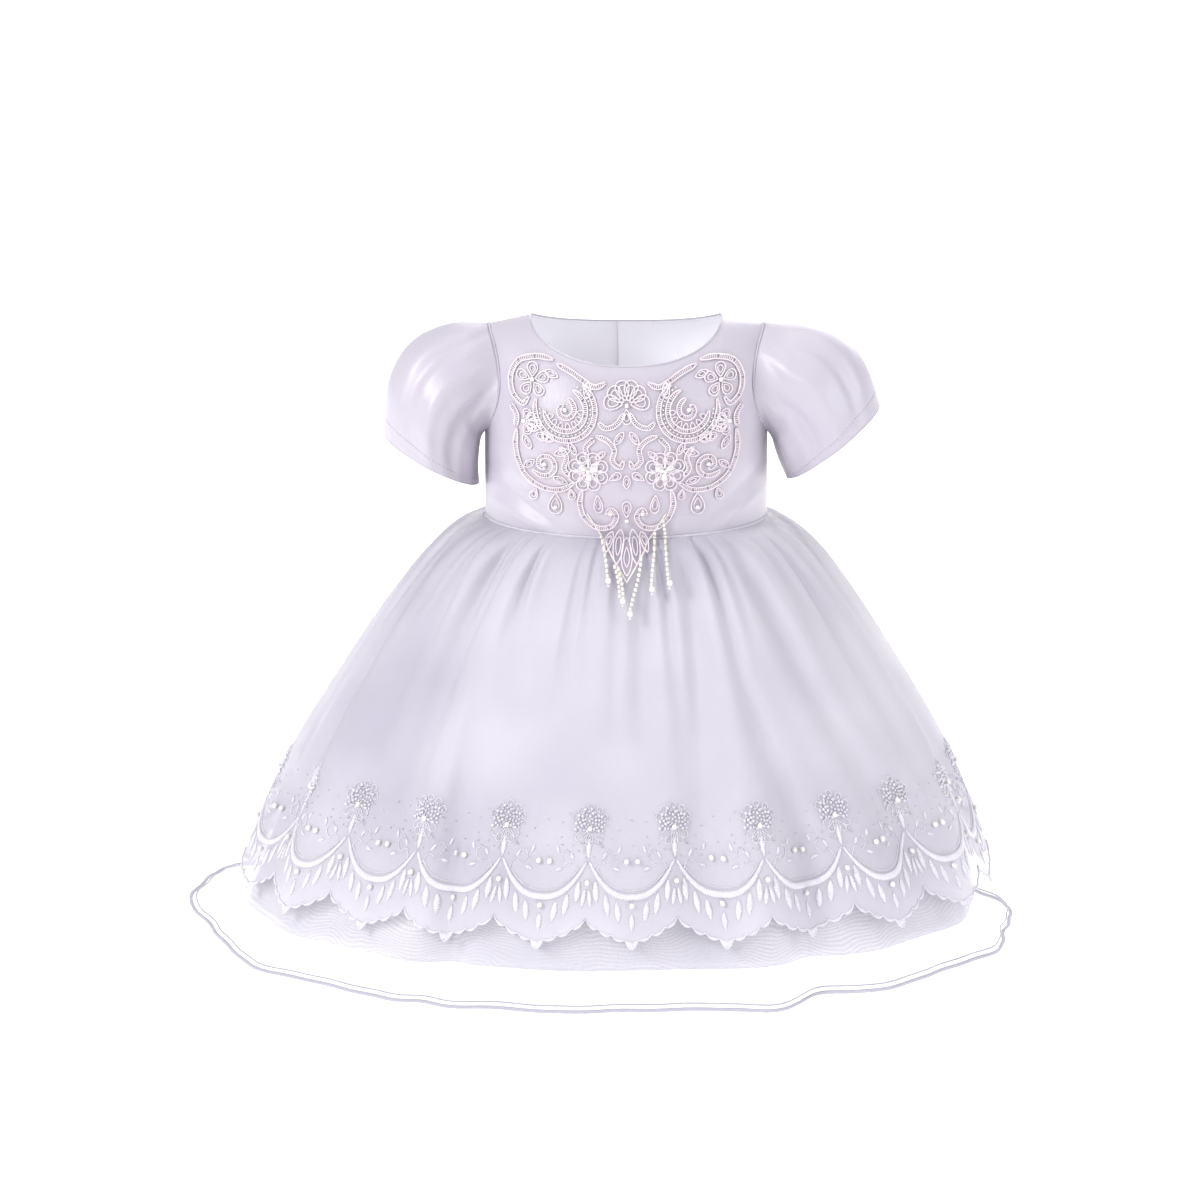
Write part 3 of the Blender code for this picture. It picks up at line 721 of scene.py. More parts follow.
@dataclass(frozen=True)
class Backdrop(Finish):
    """A light table's frosted sheet for the floor, which glows evenly."""

    glow: float = 0.62

    def dress(self, graph: NodeGraph) -> Socket:
        """A dull sheet that is lit from below.

        Args:
            graph: the material's nodes.

        Returns:
            The share between the two tints, which lie close together.
        """
        graph.plain(Roughness=0.9, Specular_IOR_Level=0.1, Emission_Strength=self.glow)
        graph.plain(Emission_Color=(1.0, 1.0, 1.0, 1.0))
        return graph.noise(graph.place(Laid.SPACE), 3, 2)


SATIN = Satin("bodice satin", (0.435, 0.405, 0.470), (0.405, 0.378, 0.450))
# The skirt satin's wide span of tints paints the shade of its folds, and its high light tint is painted
# light against the shadow of the overskirt's lobes.
LINING_SATIN_PAINTED_LIGHT_AND_SHADE = Satin("skirt satin, painted light and shade", (0.700, 0.680, 0.725), (0.500, 0.485, 0.550), 0.32, moire=0.0023)
# painted light: the lining is far lighter than the white satin outside, so that the shaded inside of the
# bodice looks white
BODICE_LINING_PAINTED_LIGHT = Satin("bodice lining, painted light", (0.900, 0.890, 0.930), (0.870, 0.860, 0.905), roughness=0.5)
# The overskirt's wide span of tints is a painted glow and painted shade, laid in soft clouds.
OVER_ORGANZA_PAINTED_GLOW = Organza("overskirt organza, painted glow", (0.660, 0.630, 0.710), (0.500, 0.475, 0.570), alpha=0.72)
UNDER_ORGANZA = Organza("plain organza", (0.680, 0.665, 0.730), (0.600, 0.585, 0.660), alpha=0.26)
HEM_THREAD = Thread("hem embroidery", (0.625, 0.605, 0.675), (0.510, 0.495, 0.570))
LACE_CORD = Thread("lace cord", (0.800, 0.715, 0.780), (0.680, 0.590, 0.665), stitch=0.0009)
LACE_NET = Organza("lace net", (0.780, 0.690, 0.760), (0.720, 0.630, 0.700), alpha=0.10, threads=1400)
SEAM_THREAD = Thread("seam", (0.560, 0.540, 0.610), (0.500, 0.480, 0.555), stitch=0.0016)
ROLLED_HEM = Thread("rolled hem", (0.420, 0.410, 0.490), (0.370, 0.360, 0.440), stitch=0.0012)
PEARL = Pearl("pearl", (0.700, 0.680, 0.660), (0.560, 0.540, 0.545))
BEAD = Pearl("cream bead", (0.690, 0.660, 0.615), (0.580, 0.550, 0.520), roughness=0.28)
SEQUIN = Pearl("drop sequin", (0.640, 0.610, 0.620), (0.480, 0.450, 0.470), roughness=0.12, sheen=0.0)
BACKDROP = Backdrop("light table", (0.97, 0.97, 0.97), (0.955, 0.955, 0.96))


def add_mesh(name: str, shape: Shape, finish: Finish) -> bpy.types.Object:
    """A mesh object at the origin from a shape, smooth and with its UV map.

    Args:
        name: the object's name.
        shape: its points, quads and UV corners.
        finish: what it is made of.

    Returns:
        The new object.
    """
    mesh = bpy.data.meshes.new(name)
    count = len(shape.quads)
    mesh.vertices.add(len(shape.points))
    mesh.vertices.foreach_set("co", shape.points.astype(np.float32).ravel())
    mesh.loops.add(4 * count)
    mesh.loops.foreach_set("vertex_index", shape.quads.astype(np.int32).ravel())
    mesh.polygons.add(count)
    mesh.polygons.foreach_set("loop_start", np.arange(count, dtype=np.int32) * 4)
    mesh.polygons.foreach_set("use_smooth", np.ones(count, dtype=bool))
    mesh.uv_layers.new(name="cloth").data.foreach_set("uv", shape.corners.astype(np.float32).ravel())
    mesh.update(calc_edges=True)
    mesh.validate()
    mesh.materials.append(finish.material())
    made = bpy.data.objects.new(name, mesh)
    bpy.context.collection.objects.link(made)
    return made


def add_piece(
    name: str,
    shape: Shape,
    finish: Finish,
    stands_for: str = "",
    thickness: float = 0.0,
    lining: Finish | None = None,
) -> bpy.types.Object:
    """A piece of the gown, riding with its one body.

    Args:
        name: the piece's name.
        shape: its form.
        finish: what it is made of.
        stands_for: the solid that it replaces, if there is one.
        thickness: a wall's thickness, laid inwards from the shape, or nought.
        lining: what the wall's inner side is made of, if it is another cloth.

    Returns:
        The new object.
    """
    made = add_mesh(name, shape, finish)
    if thickness:
        wall = made.modifiers.new("wall", "SOLIDIFY")
        wall.thickness = thickness
        wall.offset = -1.0
        if lining:
            made.data.materials.append(lining.material())
            wall.material_offset = 1
    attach(made, "root")
    if stands_for:
        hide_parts(stands_for)
    LOG.info("%s: %d quads in %s", name, len(shape.quads), finish.name)
    return made


# Surfaces that patterns lie on


class Surface:
    """A cloth's outer surface as a function of a place across and a place up."""

    def point(self, across: Array, up: Array) -> Array:
        """The place on the cloth."""
        raise NotImplementedError

    def lay(self, shape: Shape) -> Shape:
        """A flat pattern laid on the cloth.

        The third coordinate of each point becomes its height along the surface's normal,
        which is the cross product of the slopes across and up.

        Args:
            shape: points across, up and out.

        Returns:
            The shape in the gown's frame.
        """
        step = 0.0006  # to each side, to read the slopes
        across, up, out = shape.points.T
        right = self.point(across + step, up) - self.point(across - step, up)
        above = self.point(across, up + step) - self.point(across, up - step)
        lifted = self.point(across, up) + out[:, None] * unit(np.cross(right, above))
        return replace(shape, points=lifted)


@dataclass(frozen=True)
class Crease:
    """A soft trough or ridge between two places, pressed in."""

    start: Flat
    end: Flat
    width: float
    depth: float


def creased(across: Array, up: Array, creases: tuple[Crease, ...]) -> Array:
    """Height of all creases: bells of the distance to each line, fading at its ends.

    Args:
        across: places across.
        up: places up.
        creases: where they lie and how deep they are.

    Returns:
        A height for each place.
    """
    at_ends, along = 0.12, 0.76  # shares of half a turn, whose sine fades the crease
    total = np.zeros(np.broadcast(across, up).shape)
    for crease in creases:
        start, span = np.array(crease.start), np.subtract(crease.end, crease.start)
        share = ((across - start[0]) * span[0] + (up - start[1]) * span[1]) / np.sum(span**2)
        held = np.clip(share, 0, 1)
        away = np.hypot(across - start[0] - held * span[0], up - start[1] - held * span[1])
        total = total + crease.depth * bell(away, crease.width) * np.sin(math.pi * (at_ends + along * held))
    return total


@dataclass(frozen=True)
class BodiceForm(Surface):
    """The bodice's ellipse, whose depth shrinks to nothing at the shoulder seam."""

    half_width: float = 0.087
    front_depth: float = 0.070
    back_depth: float = 0.064
    shoulder_round: float = 0.070
    waist_z: float = -0.124
    neck_half_width: float = 0.058
    front_neck_drop: float = 0.022
    back_neck_drop: float = 0.010
    neck_round: Flat = (2.4, 0.6)
    shoulder_tip_x: float = 0.084
    shoulder_slope: float = 0.005
    underarm_z: float = -0.072
    armhole_scoop: float = 0.0085
    side_fade: float = 0.25
    waist_fade: float = 0.004
    front_creases: tuple[Crease, ...] = (
        Crease((-0.086, -0.088), (-0.040, -0.119), 0.0045, -0.0030),
        Crease((-0.080, -0.078), (-0.052, -0.100), 0.0060, 0.0021),
        Crease((-0.085, -0.108), (-0.050, -0.121), 0.0035, 0.0025),
        Crease((0.085, -0.084), (0.052, -0.116), 0.0045, -0.0029),
        Crease((0.086, -0.103), (0.056, -0.120), 0.0035, 0.0023),
        Crease((-0.077, -0.046), (-0.066, -0.078), 0.0050, -0.0023),
        Crease((0.077, -0.044), (0.068, -0.076), 0.0050, -0.0023),
        Crease((-0.020, -0.100), (-0.012, -0.122), 0.0040, -0.0011),
        Crease((0.026, -0.098), (0.034, -0.122), 0.0040, 0.0013),
    )
    back_creases: tuple[Crease, ...] = (
        Crease((-0.085, -0.090), (-0.048, -0.118), 0.0050, -0.0025),
        Crease((0.085, -0.086), (0.044, -0.120), 0.0045, -0.0027),
        Crease((-0.075, -0.048), (-0.066, -0.080), 0.0050, -0.0023),
        Crease((0.075, -0.046), (0.064, -0.078), 0.0050, -0.0021),
        Crease((0.030, -0.096), (0.022, -0.121), 0.0040, 0.0013),
        Crease((-0.034, -0.094), (-0.026, -0.121), 0.0045, -0.0013),
    )

    def shoulder_drop(self, x: Array) -> Array:
        """Drop of the shoulder seam, in proportion to the distance past the neck point."""
        beyond = np.clip(np.abs(x) - self.neck_half_width, 0, None)
        return self.shoulder_slope * beyond / (self.shoulder_tip_x - self.neck_half_width)

    def depth_at(self, x: Array, z: Array, full_depth: float) -> Array:
        """Depth of the ellipse at a height: a quarter circle of the distance below the seam."""
        below = np.clip(-(z + self.shoulder_drop(x)), 0, self.shoulder_round)
        return full_depth * np.sqrt(1 - (1 - below / self.shoulder_round) ** 2)

    def edge_angle(self, z: Array) -> Array:
        """Angle from the centre to the side seam or, above it, to the armhole.

        The armhole runs straight from the underarm to the shoulder's tip, less a sine.

        Args:
            z: heights.

        Returns:
            An angle for each height.
        """
        share = np.clip((z - self.underarm_z) / (-self.shoulder_slope - self.underarm_z), 0, 1)
        x = self.half_width + (self.shoulder_tip_x - self.half_width) * share
        x = x - self.armhole_scoop * np.sin(math.pi * share)
        return np.arcsin(np.clip(x / self.half_width, 0, 1))

    def neck_height(self, x: Array, drop: float) -> Array:
        """Height of the neckline: a rounded scoop between the neck points.

        Args:
            x: places across.
            drop: how far its middle lies below the neck points.

        Returns:
            A height for each place.
        """
        share = np.clip(np.abs(x) / self.neck_half_width, 0, 1)
        across, down = self.neck_round
        return -drop * (1 - share**across) ** down

    def at_angle(self, angle: Array, z: Array, side: int) -> Array:
        """Points on the bodice, with its creases, which fade at the side and the waist.

        Args:
            angle: from the centre front or back to the side.
            z: heights.
            side: -1 in front and 1 behind.

        Returns:
            A point for each place.
        """
        full = self.front_depth if side < 0 else self.back_depth
        creases = self.front_creases if side < 0 else self.back_creases
        x = self.half_width * np.sin(angle)
        inside = ease((self.edge_angle(z) - np.abs(angle)) / self.side_fade)
        relief = creased(x, z, creases) * inside * ease((z - self.waist_z) / self.waist_fade)
        y = side * (self.depth_at(x, z, full) * np.cos(angle) + relief)
        return np.stack([x, y, z], axis=-1)

    def panel_top(self, shares: Array, drop: float) -> Array:
        """Height at which each column meets the neckline or the shoulder seam.

        The height sets the column's x, and that the height, so they are worked out in turn.

        Args:
            shares: the columns, as shares of the edge angle.
            drop: how far the neckline's middle lies below the neck points.

        Returns:
            A height for each column.
        """
        rounds = 40
        z = np.full_like(shares, -drop / 2)
        for _ in range(rounds):
            x = self.half_width * np.sin(shares * self.edge_angle(z))
            z = np.where(np.abs(x) < self.neck_half_width, self.neck_height(x, drop), -self.shoulder_drop(x))
        return z

    def panel(self, shares: Array, side: int, rows: int) -> Array:
        """A panel's grid between signed shares of its edge angle, from the top down.

        Args:
            shares: the columns, from -1 to 1.
            side: -1 in front and 1 behind.
            rows: how many rows, closer together towards the top.

        Returns:
            Rows by columns of points.
        """
        drop = self.front_neck_drop if side < 0 else self.back_neck_drop
        top = self.panel_top(np.abs(shares), drop)
        down = 1 - np.sin(np.linspace(math.pi / 2, 0, rows))
        z = top[None, :] + (self.waist_z - top[None, :]) * down[:, None]
        return self.at_angle(shares[None, :] * self.edge_angle(z), z, side)

    def point(self, across: Array, up: Array) -> Array:
        """A place on the front by its x and z."""
        return self.at_angle(np.arcsin(np.clip(across / self.half_width, -1, 1)), up, -1)

    def armhole(self, turn: Array, hand: int) -> Array:
        """The armhole's loop, from the shoulder tip down the front and up the back.

        The height above the underarm is the full one times the cosine of half the turn.

        Args:
            turn: the place along the loop, from 0 to a whole turn.
            hand: 1 for the wearer's left and -1 for the right.

        Returns:
            A point for each place.
        """
        top = -self.shoulder_drop(np.array(self.shoulder_tip_x))
        z = self.underarm_z + (top - self.underarm_z) * np.abs(np.cos(turn / 2))
        angle = self.edge_angle(z)
        x = self.half_width * np.sin(angle)
        full = np.where(turn < math.pi, -self.front_depth, self.back_depth)
        share = self.depth_at(x, z, 1.0)
        return np.stack([hand * x, full * share * np.cos(angle), z], axis=-1)


@dataclass(frozen=True)
class Ring:
    """One level of a skirt: its ellipse, its shift to a side, and how far gathers and folds stand."""

    z: float
    half_width: float
    front: float
    back: float
    shift: float
    gather: float
    folds: float


@dataclass(frozen=True)
class Inset:
    """How far the inner layers lie inside a ring of the overskirt, and what is theirs alone."""

    organza: float
    satin: float
    gather: float
    organza_folds: float
    satin_folds: float


@dataclass(frozen=True)
class Fold:
    """A rounded ridge down a skirt, by its angle at the waist and at the hem, in degrees."""

    at_waist: float
    at_hem: float
    width: float
    height: float


@dataclass(frozen=True)
class Trough:
    """A crease down a skirt, in degrees, between two shares of the way down."""

    at_waist: float
    at_hem: float
    start: float
    end: float
    width: float
    depth: float


OVERSKIRT_RINGS = (
    Ring(-0.1243, 0.0875, 0.0705, 0.0648, 0.0, 0.0007, 0.0),
    Ring(-0.1300, 0.1000, 0.0815, 0.0780, -0.0004, 0.0026, 0.05),
    Ring(-0.1420, 0.1150, 0.0915, 0.0905, -0.0008, 0.0030, 0.15),
    Ring(-0.1700, 0.1375, 0.1045, 0.1070, -0.0015, 0.0022, 0.35),
    Ring(-0.2150, 0.1670, 0.1215, 0.1270, -0.0025, 0.0012, 0.60),
    Ring(-0.2750, 0.2020, 0.1410, 0.1480, -0.0035, 0.0004, 0.85),
    Ring(-0.3570, 0.2360, 0.1610, 0.1690, -0.0050, 0.0, 1.0),
)
INSETS = (
    Inset(0.0024, 0.0042, 0.0000, 0.0, 0.0),
    Inset(0.0062, 0.0100, 0.0010, 0.05, 0.04),
    Inset(0.0066, 0.0115, 0.0012, 0.15, 0.12),
    Inset(0.0060, 0.0115, 0.0012, 0.32, 0.26),
    Inset(0.0050, 0.0110, 0.0008, 0.55, 0.45),
    Inset(0.0042, 0.0105, 0.0004, 0.78, 0.62),
    Inset(0.0036, 0.0120, 0.0000, 0.92, 0.75),
)
ORGANZA_HEM = (
    Ring(-0.3700, 0.2420, 0.1660, 0.1740, -0.0085, 0.0, 1.0),
    Ring(-0.3895, 0.2530, 0.1750, 0.1840, -0.0130, 0.0, 1.15),
)
SATIN_HEM = Ring(-0.3720, 0.2260, 0.1545, 0.1620, -0.0080, 0.0, 0.8)
FOLDS = (
    Fold(-166, -168, 10, 0.0060),
    Fold(-139, -141, 11, 0.0070),
    Fold(-112, -114, 9, 0.0060),
    Fold(-86, -87, 9, 0.0070),
    Fold(-66, -58, 8, 0.0060),
    Fold(-47, -29, 8, 0.0080),
    Fold(-12, -7, 7, 0.0030),
    Fold(27, 22, 7, 0.0085),
    Fold(47, 44, 8, 0.0060),
    Fold(70, 69, 9, 0.0070),
    Fold(96, 97, 9, 0.0060),
    Fold(122, 124, 10, 0.0070),
    Fold(150, 152, 10, 0.0060),
)
FOLD_MEAN = 0.0022
TROUGHS = (
    Trough(-44, -38, 0.02, 0.85, 4.0, 0.0062),
    Trough(-35, -26, 0.36, 1.20, 2.6, 0.0044),
    Trough(-35, -26, 0.54, 1.20, 2.2, 0.0038),
    Trough(-55, -46, 0.06, 0.75, 3.0, 0.0030),
    Trough(-78, -70, 0.02, 0.90, 4.5, 0.0056),
    Trough(-31, -20, 0.03, 0.45, 2.6, 0.0026),
    Trough(-12, -16, 0.02, 0.42, 2.4, 0.0024),
    Trough(3, 5, 0.08, 0.55, 3.4, 0.0036),
    Trough(19, 13, 0.02, 0.98, 3.4, 0.0058),
    Trough(25, 32, 0.34, 1.20, 2.8, 0.0042),
    Trough(25, 32, 0.54, 1.20, 2.4, 0.0036),
    Trough(36, 55, 0.04, 0.95, 4.0, 0.0058),
    Trough(60, 68, 0.02, 0.85, 4.0, 0.0044),
    Trough(83, 84, 0.03, 0.92, 4.5, 0.0046),
    Trough(109, 111, 0.02, 0.85, 4.5, 0.0048),
    Trough(136, 138, 0.04, 0.95, 4.0, 0.0044),
    Trough(163, 167, 0.02, 0.70, 3.5, 0.0040),
    Trough(-178, -176, 0.03, 0.90, 3.8, 0.0042),
    Trough(-152, -155, 0.02, 0.82, 4.2, 0.0048),
    Trough(-126, -127, 0.05, 0.94, 4.2, 0.0042),
    Trough(-99, -101, 0.02, 0.80, 4.0, 0.0044),
)


@dataclass(frozen=True)
class Hem:
    """The overskirt's scalloped hem: its pitch and the cut of its lobes."""

    scallops: int = 22
    phase: float = -0.021
    depth: float = 0.0120
    rounding: float = 1.8
    small_lobes: int = 7
    small_depth: float = 0.0026
    drop: float = 0.0040
    drop_width: float = 0.065

    def edge(self, place: Array) -> Array:
        """Height of the cut over the tips of the drops.

        A lobe rises as a power of the distance from its middle, small lobes rise as a
        square of theirs, and the middle one hangs lower by a bell.

        Args:
            place: the share of a scallop, 0 at a cusp and 0.5 at the lobe's middle.

        Returns:
            The height in metres.
        """
        small = (place * self.small_lobes) % 1.0
        fine = self.small_depth * np.abs(2 * small - 1) ** 2
        return self.lobe(place) + fine + self.drop * (1 - bell(place % 1.0 - 0.5, self.drop_width))

    def lobe(self, place: Array) -> Array:
        """The height of the lobe alone, without its small lobes and its drop."""
        return self.depth * np.abs(2 * (place % 1.0) - 1) ** self.rounding


HEM = Hem()


class SkirtForm(Surface):
    """A flared skirt: an ellipse at each level, moved out along its normal by its folds."""

    def __init__(self, rings: tuple[Ring, ...], gathers: int, seed: int, depth: float, tight: float) -> None:
        """Works out the skirt's tables.

        Args:
            rings: its levels from the waist down.
            gathers: how many gathers go round the waist.
            seed: which uneven set of gathers it has.
            depth: how deep the valleys between the gathers are, in gather heights.
            tight: how far its own troughs follow the folds of the overskirt.
        """
        self.rings = rings
        self.fields = np.array([astuple(ring) for ring in rings])
        run = np.hypot(np.diff(self.fields[:, 0]), np.diff(self.fields[:, 2]))
        self.stations = np.concatenate([[0.0], np.cumsum(run)]) / np.sum(run)
        self.tight = tight
        self.measure_hem()
        self.draw_valleys(gathers, seed, depth)
        down = np.linspace(0, 1, 400)
        heights = smooth_interp(down, self.stations, self.fields)[:, 0]
        self.down_of_height = (heights[::-1], down[::-1])

    def measure_hem(self) -> None:
        """Tables the length along the overskirt's hem by the angle: the sum of its short steps."""
        fine = np.linspace(-math.pi, math.pi, 7201)
        hem = OVERSKIRT_RINGS[-1]
        fore_aft = np.where(np.abs(fine) < math.pi / 2, hem.front, hem.back)
        speed = np.hypot(hem.half_width * np.cos(fine), fore_aft * np.sin(fine))
        steps = (speed[1:] + speed[:-1]) / 2 * np.diff(fine)
        length = np.concatenate([[0.0], np.cumsum(steps)])
        self.hem_length = float(length[-1])
        self.fine = fine
        self.length = length - np.interp(0.0, fine, length)

    def draw_valleys(self, gathers: int, seed: int, depth: float) -> None:
        """Draws the valleys between the gathers, none like the next.

        Args:
            gathers: how many there are.
            seed: which set of them.
            depth: how deep they are, in gather heights.
        """
        draw = np.random.default_rng(seed)
        self.gathers = gathers
        self.valleys = (np.arange(gathers) + 0.5 + draw.uniform(-0.26, 0.26, gathers)) / gathers
        self.valley_depths = depth * draw.uniform(0.15, 1.0, gathers) ** 1.4 + 0.25
        self.valley_widths = draw.uniform(0.13, 0.34, gathers) / gathers
        self.valley_reach = draw.uniform(0.14, 0.75, gathers)
        self.valley_drift = draw.uniform(-0.25, 0.25, gathers) / gathers

    def angle(self, across: Array) -> Array:
        """Angle from the centre front of a place by its length along the overskirt's hem."""
        wanted = (across + self.hem_length / 2) % self.hem_length - self.hem_length / 2
        return np.interp(wanted, self.length, self.fine)

    def down_at(self, z: Array) -> Array:
        """The share of the way down at which the skirt is at a height."""
        return np.interp(z, *self.down_of_height)

    def gathered(self, across: Array, down: Array) -> Array:
        """Gathers, 1 on the crests: narrow uneven valleys that fade at their own lengths.

        Args:
            across: lengths along the overskirt's hem.
            down: shares of the way down.

        Returns:
            How far each place stands out, in gather heights.
        """
        widening, fading = 1.2, 0.22
        share = (across - HEM.phase) / self.hem_length
        total = np.ones(np.broadcast(across, down).shape)
        for k in range(self.gathers):
            middle = self.valleys[k] + self.valley_drift[k] * down
            away = (share - middle + 0.5) % 1.0 - 0.5
            width = self.valley_widths[k] * (1 + widening * down)
            fade = 1 - ease((down - self.valley_reach[k]) / fading)
            total = total - self.valley_depths[k] * bell(away, width) * fade
        return total

    def folded(self, angle: Array, growth: Array, down: Array) -> Array:
        """Height of the folds: ridges that grow towards the hem, less the troughs beside them.

        Args:
            angle: angles from the centre front.
            growth: how far the folds have grown there, about 1 at the hem.
            down: shares of the way down.

        Returns:
            A height for each place.
        """
        opening, closing = 0.12, 0.18  # how fast a trough starts and ends, in shares of the way down
        total = np.full(np.broadcast(angle, growth).shape, -FOLD_MEAN)
        for fold in FOLDS:
            middle = np.radians(fold.at_waist + (fold.at_hem - fold.at_waist) * growth)
            total = total + fold.height * bell(wrapped(angle - middle), math.radians(fold.width))
        total = total * growth
        for trough in TROUGHS:
            middle = np.radians(trough.at_waist + (trough.at_hem - trough.at_waist) * down)
            width = math.radians(trough.width) * (0.7 + 0.6 * down)
            within = ease((down - trough.start) / opening) * (1 - ease((down - trough.end) / closing + 1))
            total = total - self.tight * trough.depth * bell(wrapped(angle - middle), width) * within
        return total

    def ring_point(self, across: Array, down: Array) -> Array:
        """The place at a length along the hem and a share of the way down.

        The ellipse's point is moved along the ellipse's normal by the gathers and folds.

        Args:
            across: length along the overskirt's hem from the centre front.
            down: 0 at the waist and 1 at the hem.

        Returns:
            A point for each place.
        """
        values = smooth_interp(np.asarray(down, float), self.stations, self.fields)
        z, half, front, back, shift, gather, growth = np.moveaxis(values, -1, 0)
        angle = self.angle(across)
        depth = np.where(np.cos(angle) > 0, front, back)
        out = unit(np.stack([np.sin(angle) / half, -np.cos(angle) / depth], axis=-1))
        moved = gather * self.gathered(across, down) + self.folded(angle, growth, down)
        x = half * np.sin(angle) + shift + out[..., 0] * moved
        y = -depth * np.cos(angle) + out[..., 1] * moved
        return np.stack([x, y, z + 0 * x], axis=-1)

    def point(self, across: Array, up: Array) -> Array:
        """A place by its length along the hem and its height over the hem's lowest line."""
        return self.ring_point(across, self.down_at(self.rings[-1].z + up))

    def grid(self, columns: int, rows: int) -> tuple[Array, Array]:
        """Places across and down.

        Args:
            columns: how many go round.
            rows: how many go down.

        Returns:
            Two grids, of lengths along the hem and of shares of the way down.
        """
        across = HEM.phase + np.arange(columns) / columns * self.hem_length
        return np.broadcast_arrays(across[None, :], np.linspace(0, 1, rows)[:, None])


def inner_rings(organza: bool) -> tuple[Ring, ...]:
    """The rings of an inner layer: the overskirt's, taken in by the insets, and its own hem.

    Args:
        organza: whether it is the plain organza, not the satin.

    Returns:
        The rings from the waist down.
    """
    rings = []
    for ring, inset in zip(OVERSKIRT_RINGS, INSETS):
        by = inset.organza if organza else inset.satin
        folds = inset.organza_folds if organza else inset.satin_folds
        sizes = (ring.half_width - by, ring.front - by, ring.back - by)
        rings.append(Ring(ring.z, *sizes, ring.shift, inset.gather, folds))
    return (*rings, *ORGANZA_HEM) if organza else (*rings[:-1], SATIN_HEM)


class FrontForm(Surface):
    """The gown's front for the lace: the bodice, and below it the crests of the gathers."""

    leaves_z = -0.112
    clearance = 0.0012

    def __init__(self, bodice: BodiceForm) -> None:
        """Works out the crests' table from the overskirt's rings.

        Args:
            bodice: the form above the waist.
        """
        self.bodice = bodice
        self.heights = np.array([-self.leaves_z] + [-ring.z for ring in OVERSKIRT_RINGS])
        crests = [ring.front + ring.gather + self.clearance for ring in OVERSKIRT_RINGS]
        halves = [ring.half_width for ring in OVERSKIRT_RINGS]
        self.sizes = np.array([[bodice.front_depth, *crests], [bodice.half_width, *halves]]).T

    def point(self, across: Array, up: Array) -> Array:
        """A place by its x and z, on the bodice above and an ellipse of the crests below.

        Args:
            across: places across.
            up: heights.

        Returns:
            A point for each place.
        """
        depth, half = np.moveaxis(smooth_interp(-up, self.heights, self.sizes), -1, 0)
        low = -depth * np.sqrt(1 - np.clip(across / half, -1, 1) ** 2)
        high = self.bodice.point(across, up)[..., 1]
        return np.stack([across, np.where(up > self.leaves_z, high, low), up], axis=-1)


# The gown's sub-assemblies


@dataclass
class Bodice:
    """Satin front and two backs, lapped at the centre back, with their seams."""

    form: BodiceForm
    cloth: float = 0.0006
    seam_radius: float = 0.0007
    seam_points: int = 400
    edge_radius: float = 0.000595
    edge_points: int = 141
    lap: float = 0.007
    lap_rise: float = 0.010
    lap_lift: float = 0.0015
    front_columns: int = 161
    back_columns: int = 91
    rows: int = 91
    front_cut: Flat = (0.215, 0.135)
    back_cut: Flat = (0.112, 0.135)

    def build(self) -> None:
        """Makes the panels and what is sewn along their edges."""
        grid = self.form.panel(np.linspace(-1, 1, self.front_columns), -1, self.rows)
        self.add_panel("bodice_front", grid, self.front_cut)
        self.add_back("bodice_back_left", 1)
        self.add_back("bodice_back_right", -1)
        self.add_waist_seam()
        self.add_neck_edge()

    def add_panel(self, name: str, grid: Array, cut: Flat) -> None:
        """One lined panel, which stands for the solid of its name.

        Args:
            name: the solid's name.
            grid: its rows and columns of points.
            cut: its flat size.
        """
        shape = grid_shape(grid, cut)
        made = add_piece(f"{name}_satin", shape, SATIN, name, self.cloth, BODICE_LINING_PAINTED_LIGHT)

    def add_back(self, name: str, hand: int) -> None:
        """One back, the wearer's right lifted where it laps over the left.

        Args:
            name: the solid's name.
            hand: 1 for the left and -1 for the right.
        """
        reach = self.lap / self.form.half_width / (math.pi / 2)
        shares = hand * np.linspace(1, -reach, self.back_columns)[::hand]
        grid = self.form.panel(shares, 1, self.rows)
        if hand < 0:
            grid[..., 1] += self.lifted(grid[..., 0])
        self.add_panel(name, grid, self.back_cut)

    def lifted(self, x: Array) -> Array:
        """How far the lap stands out: full over the other back, easing off beside it."""
        return self.lap_lift * (1 - ease((-x - self.lap) / self.lap_rise))

    def waist(self, angle: Array) -> Array:
        """The waist seam's line: the ellipse of the bodice's lower edge."""
        depth = np.where(np.cos(angle) > 0, self.form.front_depth, self.form.back_depth)
        return np.stack([self.form.half_width * np.sin(angle), -depth * np.cos(angle)], axis=-1)

    def add_waist_seam(self) -> None:
        """The seam's rolled edge, a fine cord round the waist that is carried over the lap."""
        path = self.waist(np.arange(self.seam_points) / self.seam_points * TURN)
        on_lap = (1 - ease((path[..., 0] - self.lap) / self.seam_radius)) * (path[..., 1] > 0)
        path[..., 1] += self.lifted(path[..., 0]) * on_lap
        ring = tube(path, self.seam_radius, self.seam_radius * 1.3, self.form.waist_z, closed=True)
        add_piece("waist_seam", ring, SEAM_THREAD)

    def add_neck_edge(self) -> None:
        """The neckline's turned edge: a soft roll along the front's and the backs' tops."""
        parts = []
        for side, drop in ((-1, self.form.front_neck_drop), (1, self.form.back_neck_drop)):
            x = np.linspace(-1, 1, self.edge_points) * self.form.neck_half_width * 0.997
            z = self.form.neck_height(x, drop)
            line = self.form.at_angle(np.arcsin(x / self.form.half_width), z, side)
            ahead = ahead_of(line)
            level = unit(np.cross(ahead, np.array([0.0, 0.0, 1.0])))
            above = np.cross(level, ahead)
            parts.append(round_cord(line, level, above, self.edge_radius, False).flipped())
        add_piece("neck_edge", Shape.joined(parts), SATIN)


@dataclass(frozen=True)
class SleeveRing:
    """A tilted ellipse between a top point and an underarm point."""

    top_x: float
    top_z: float
    under_x: float
    under_z: float
    half_depth: float


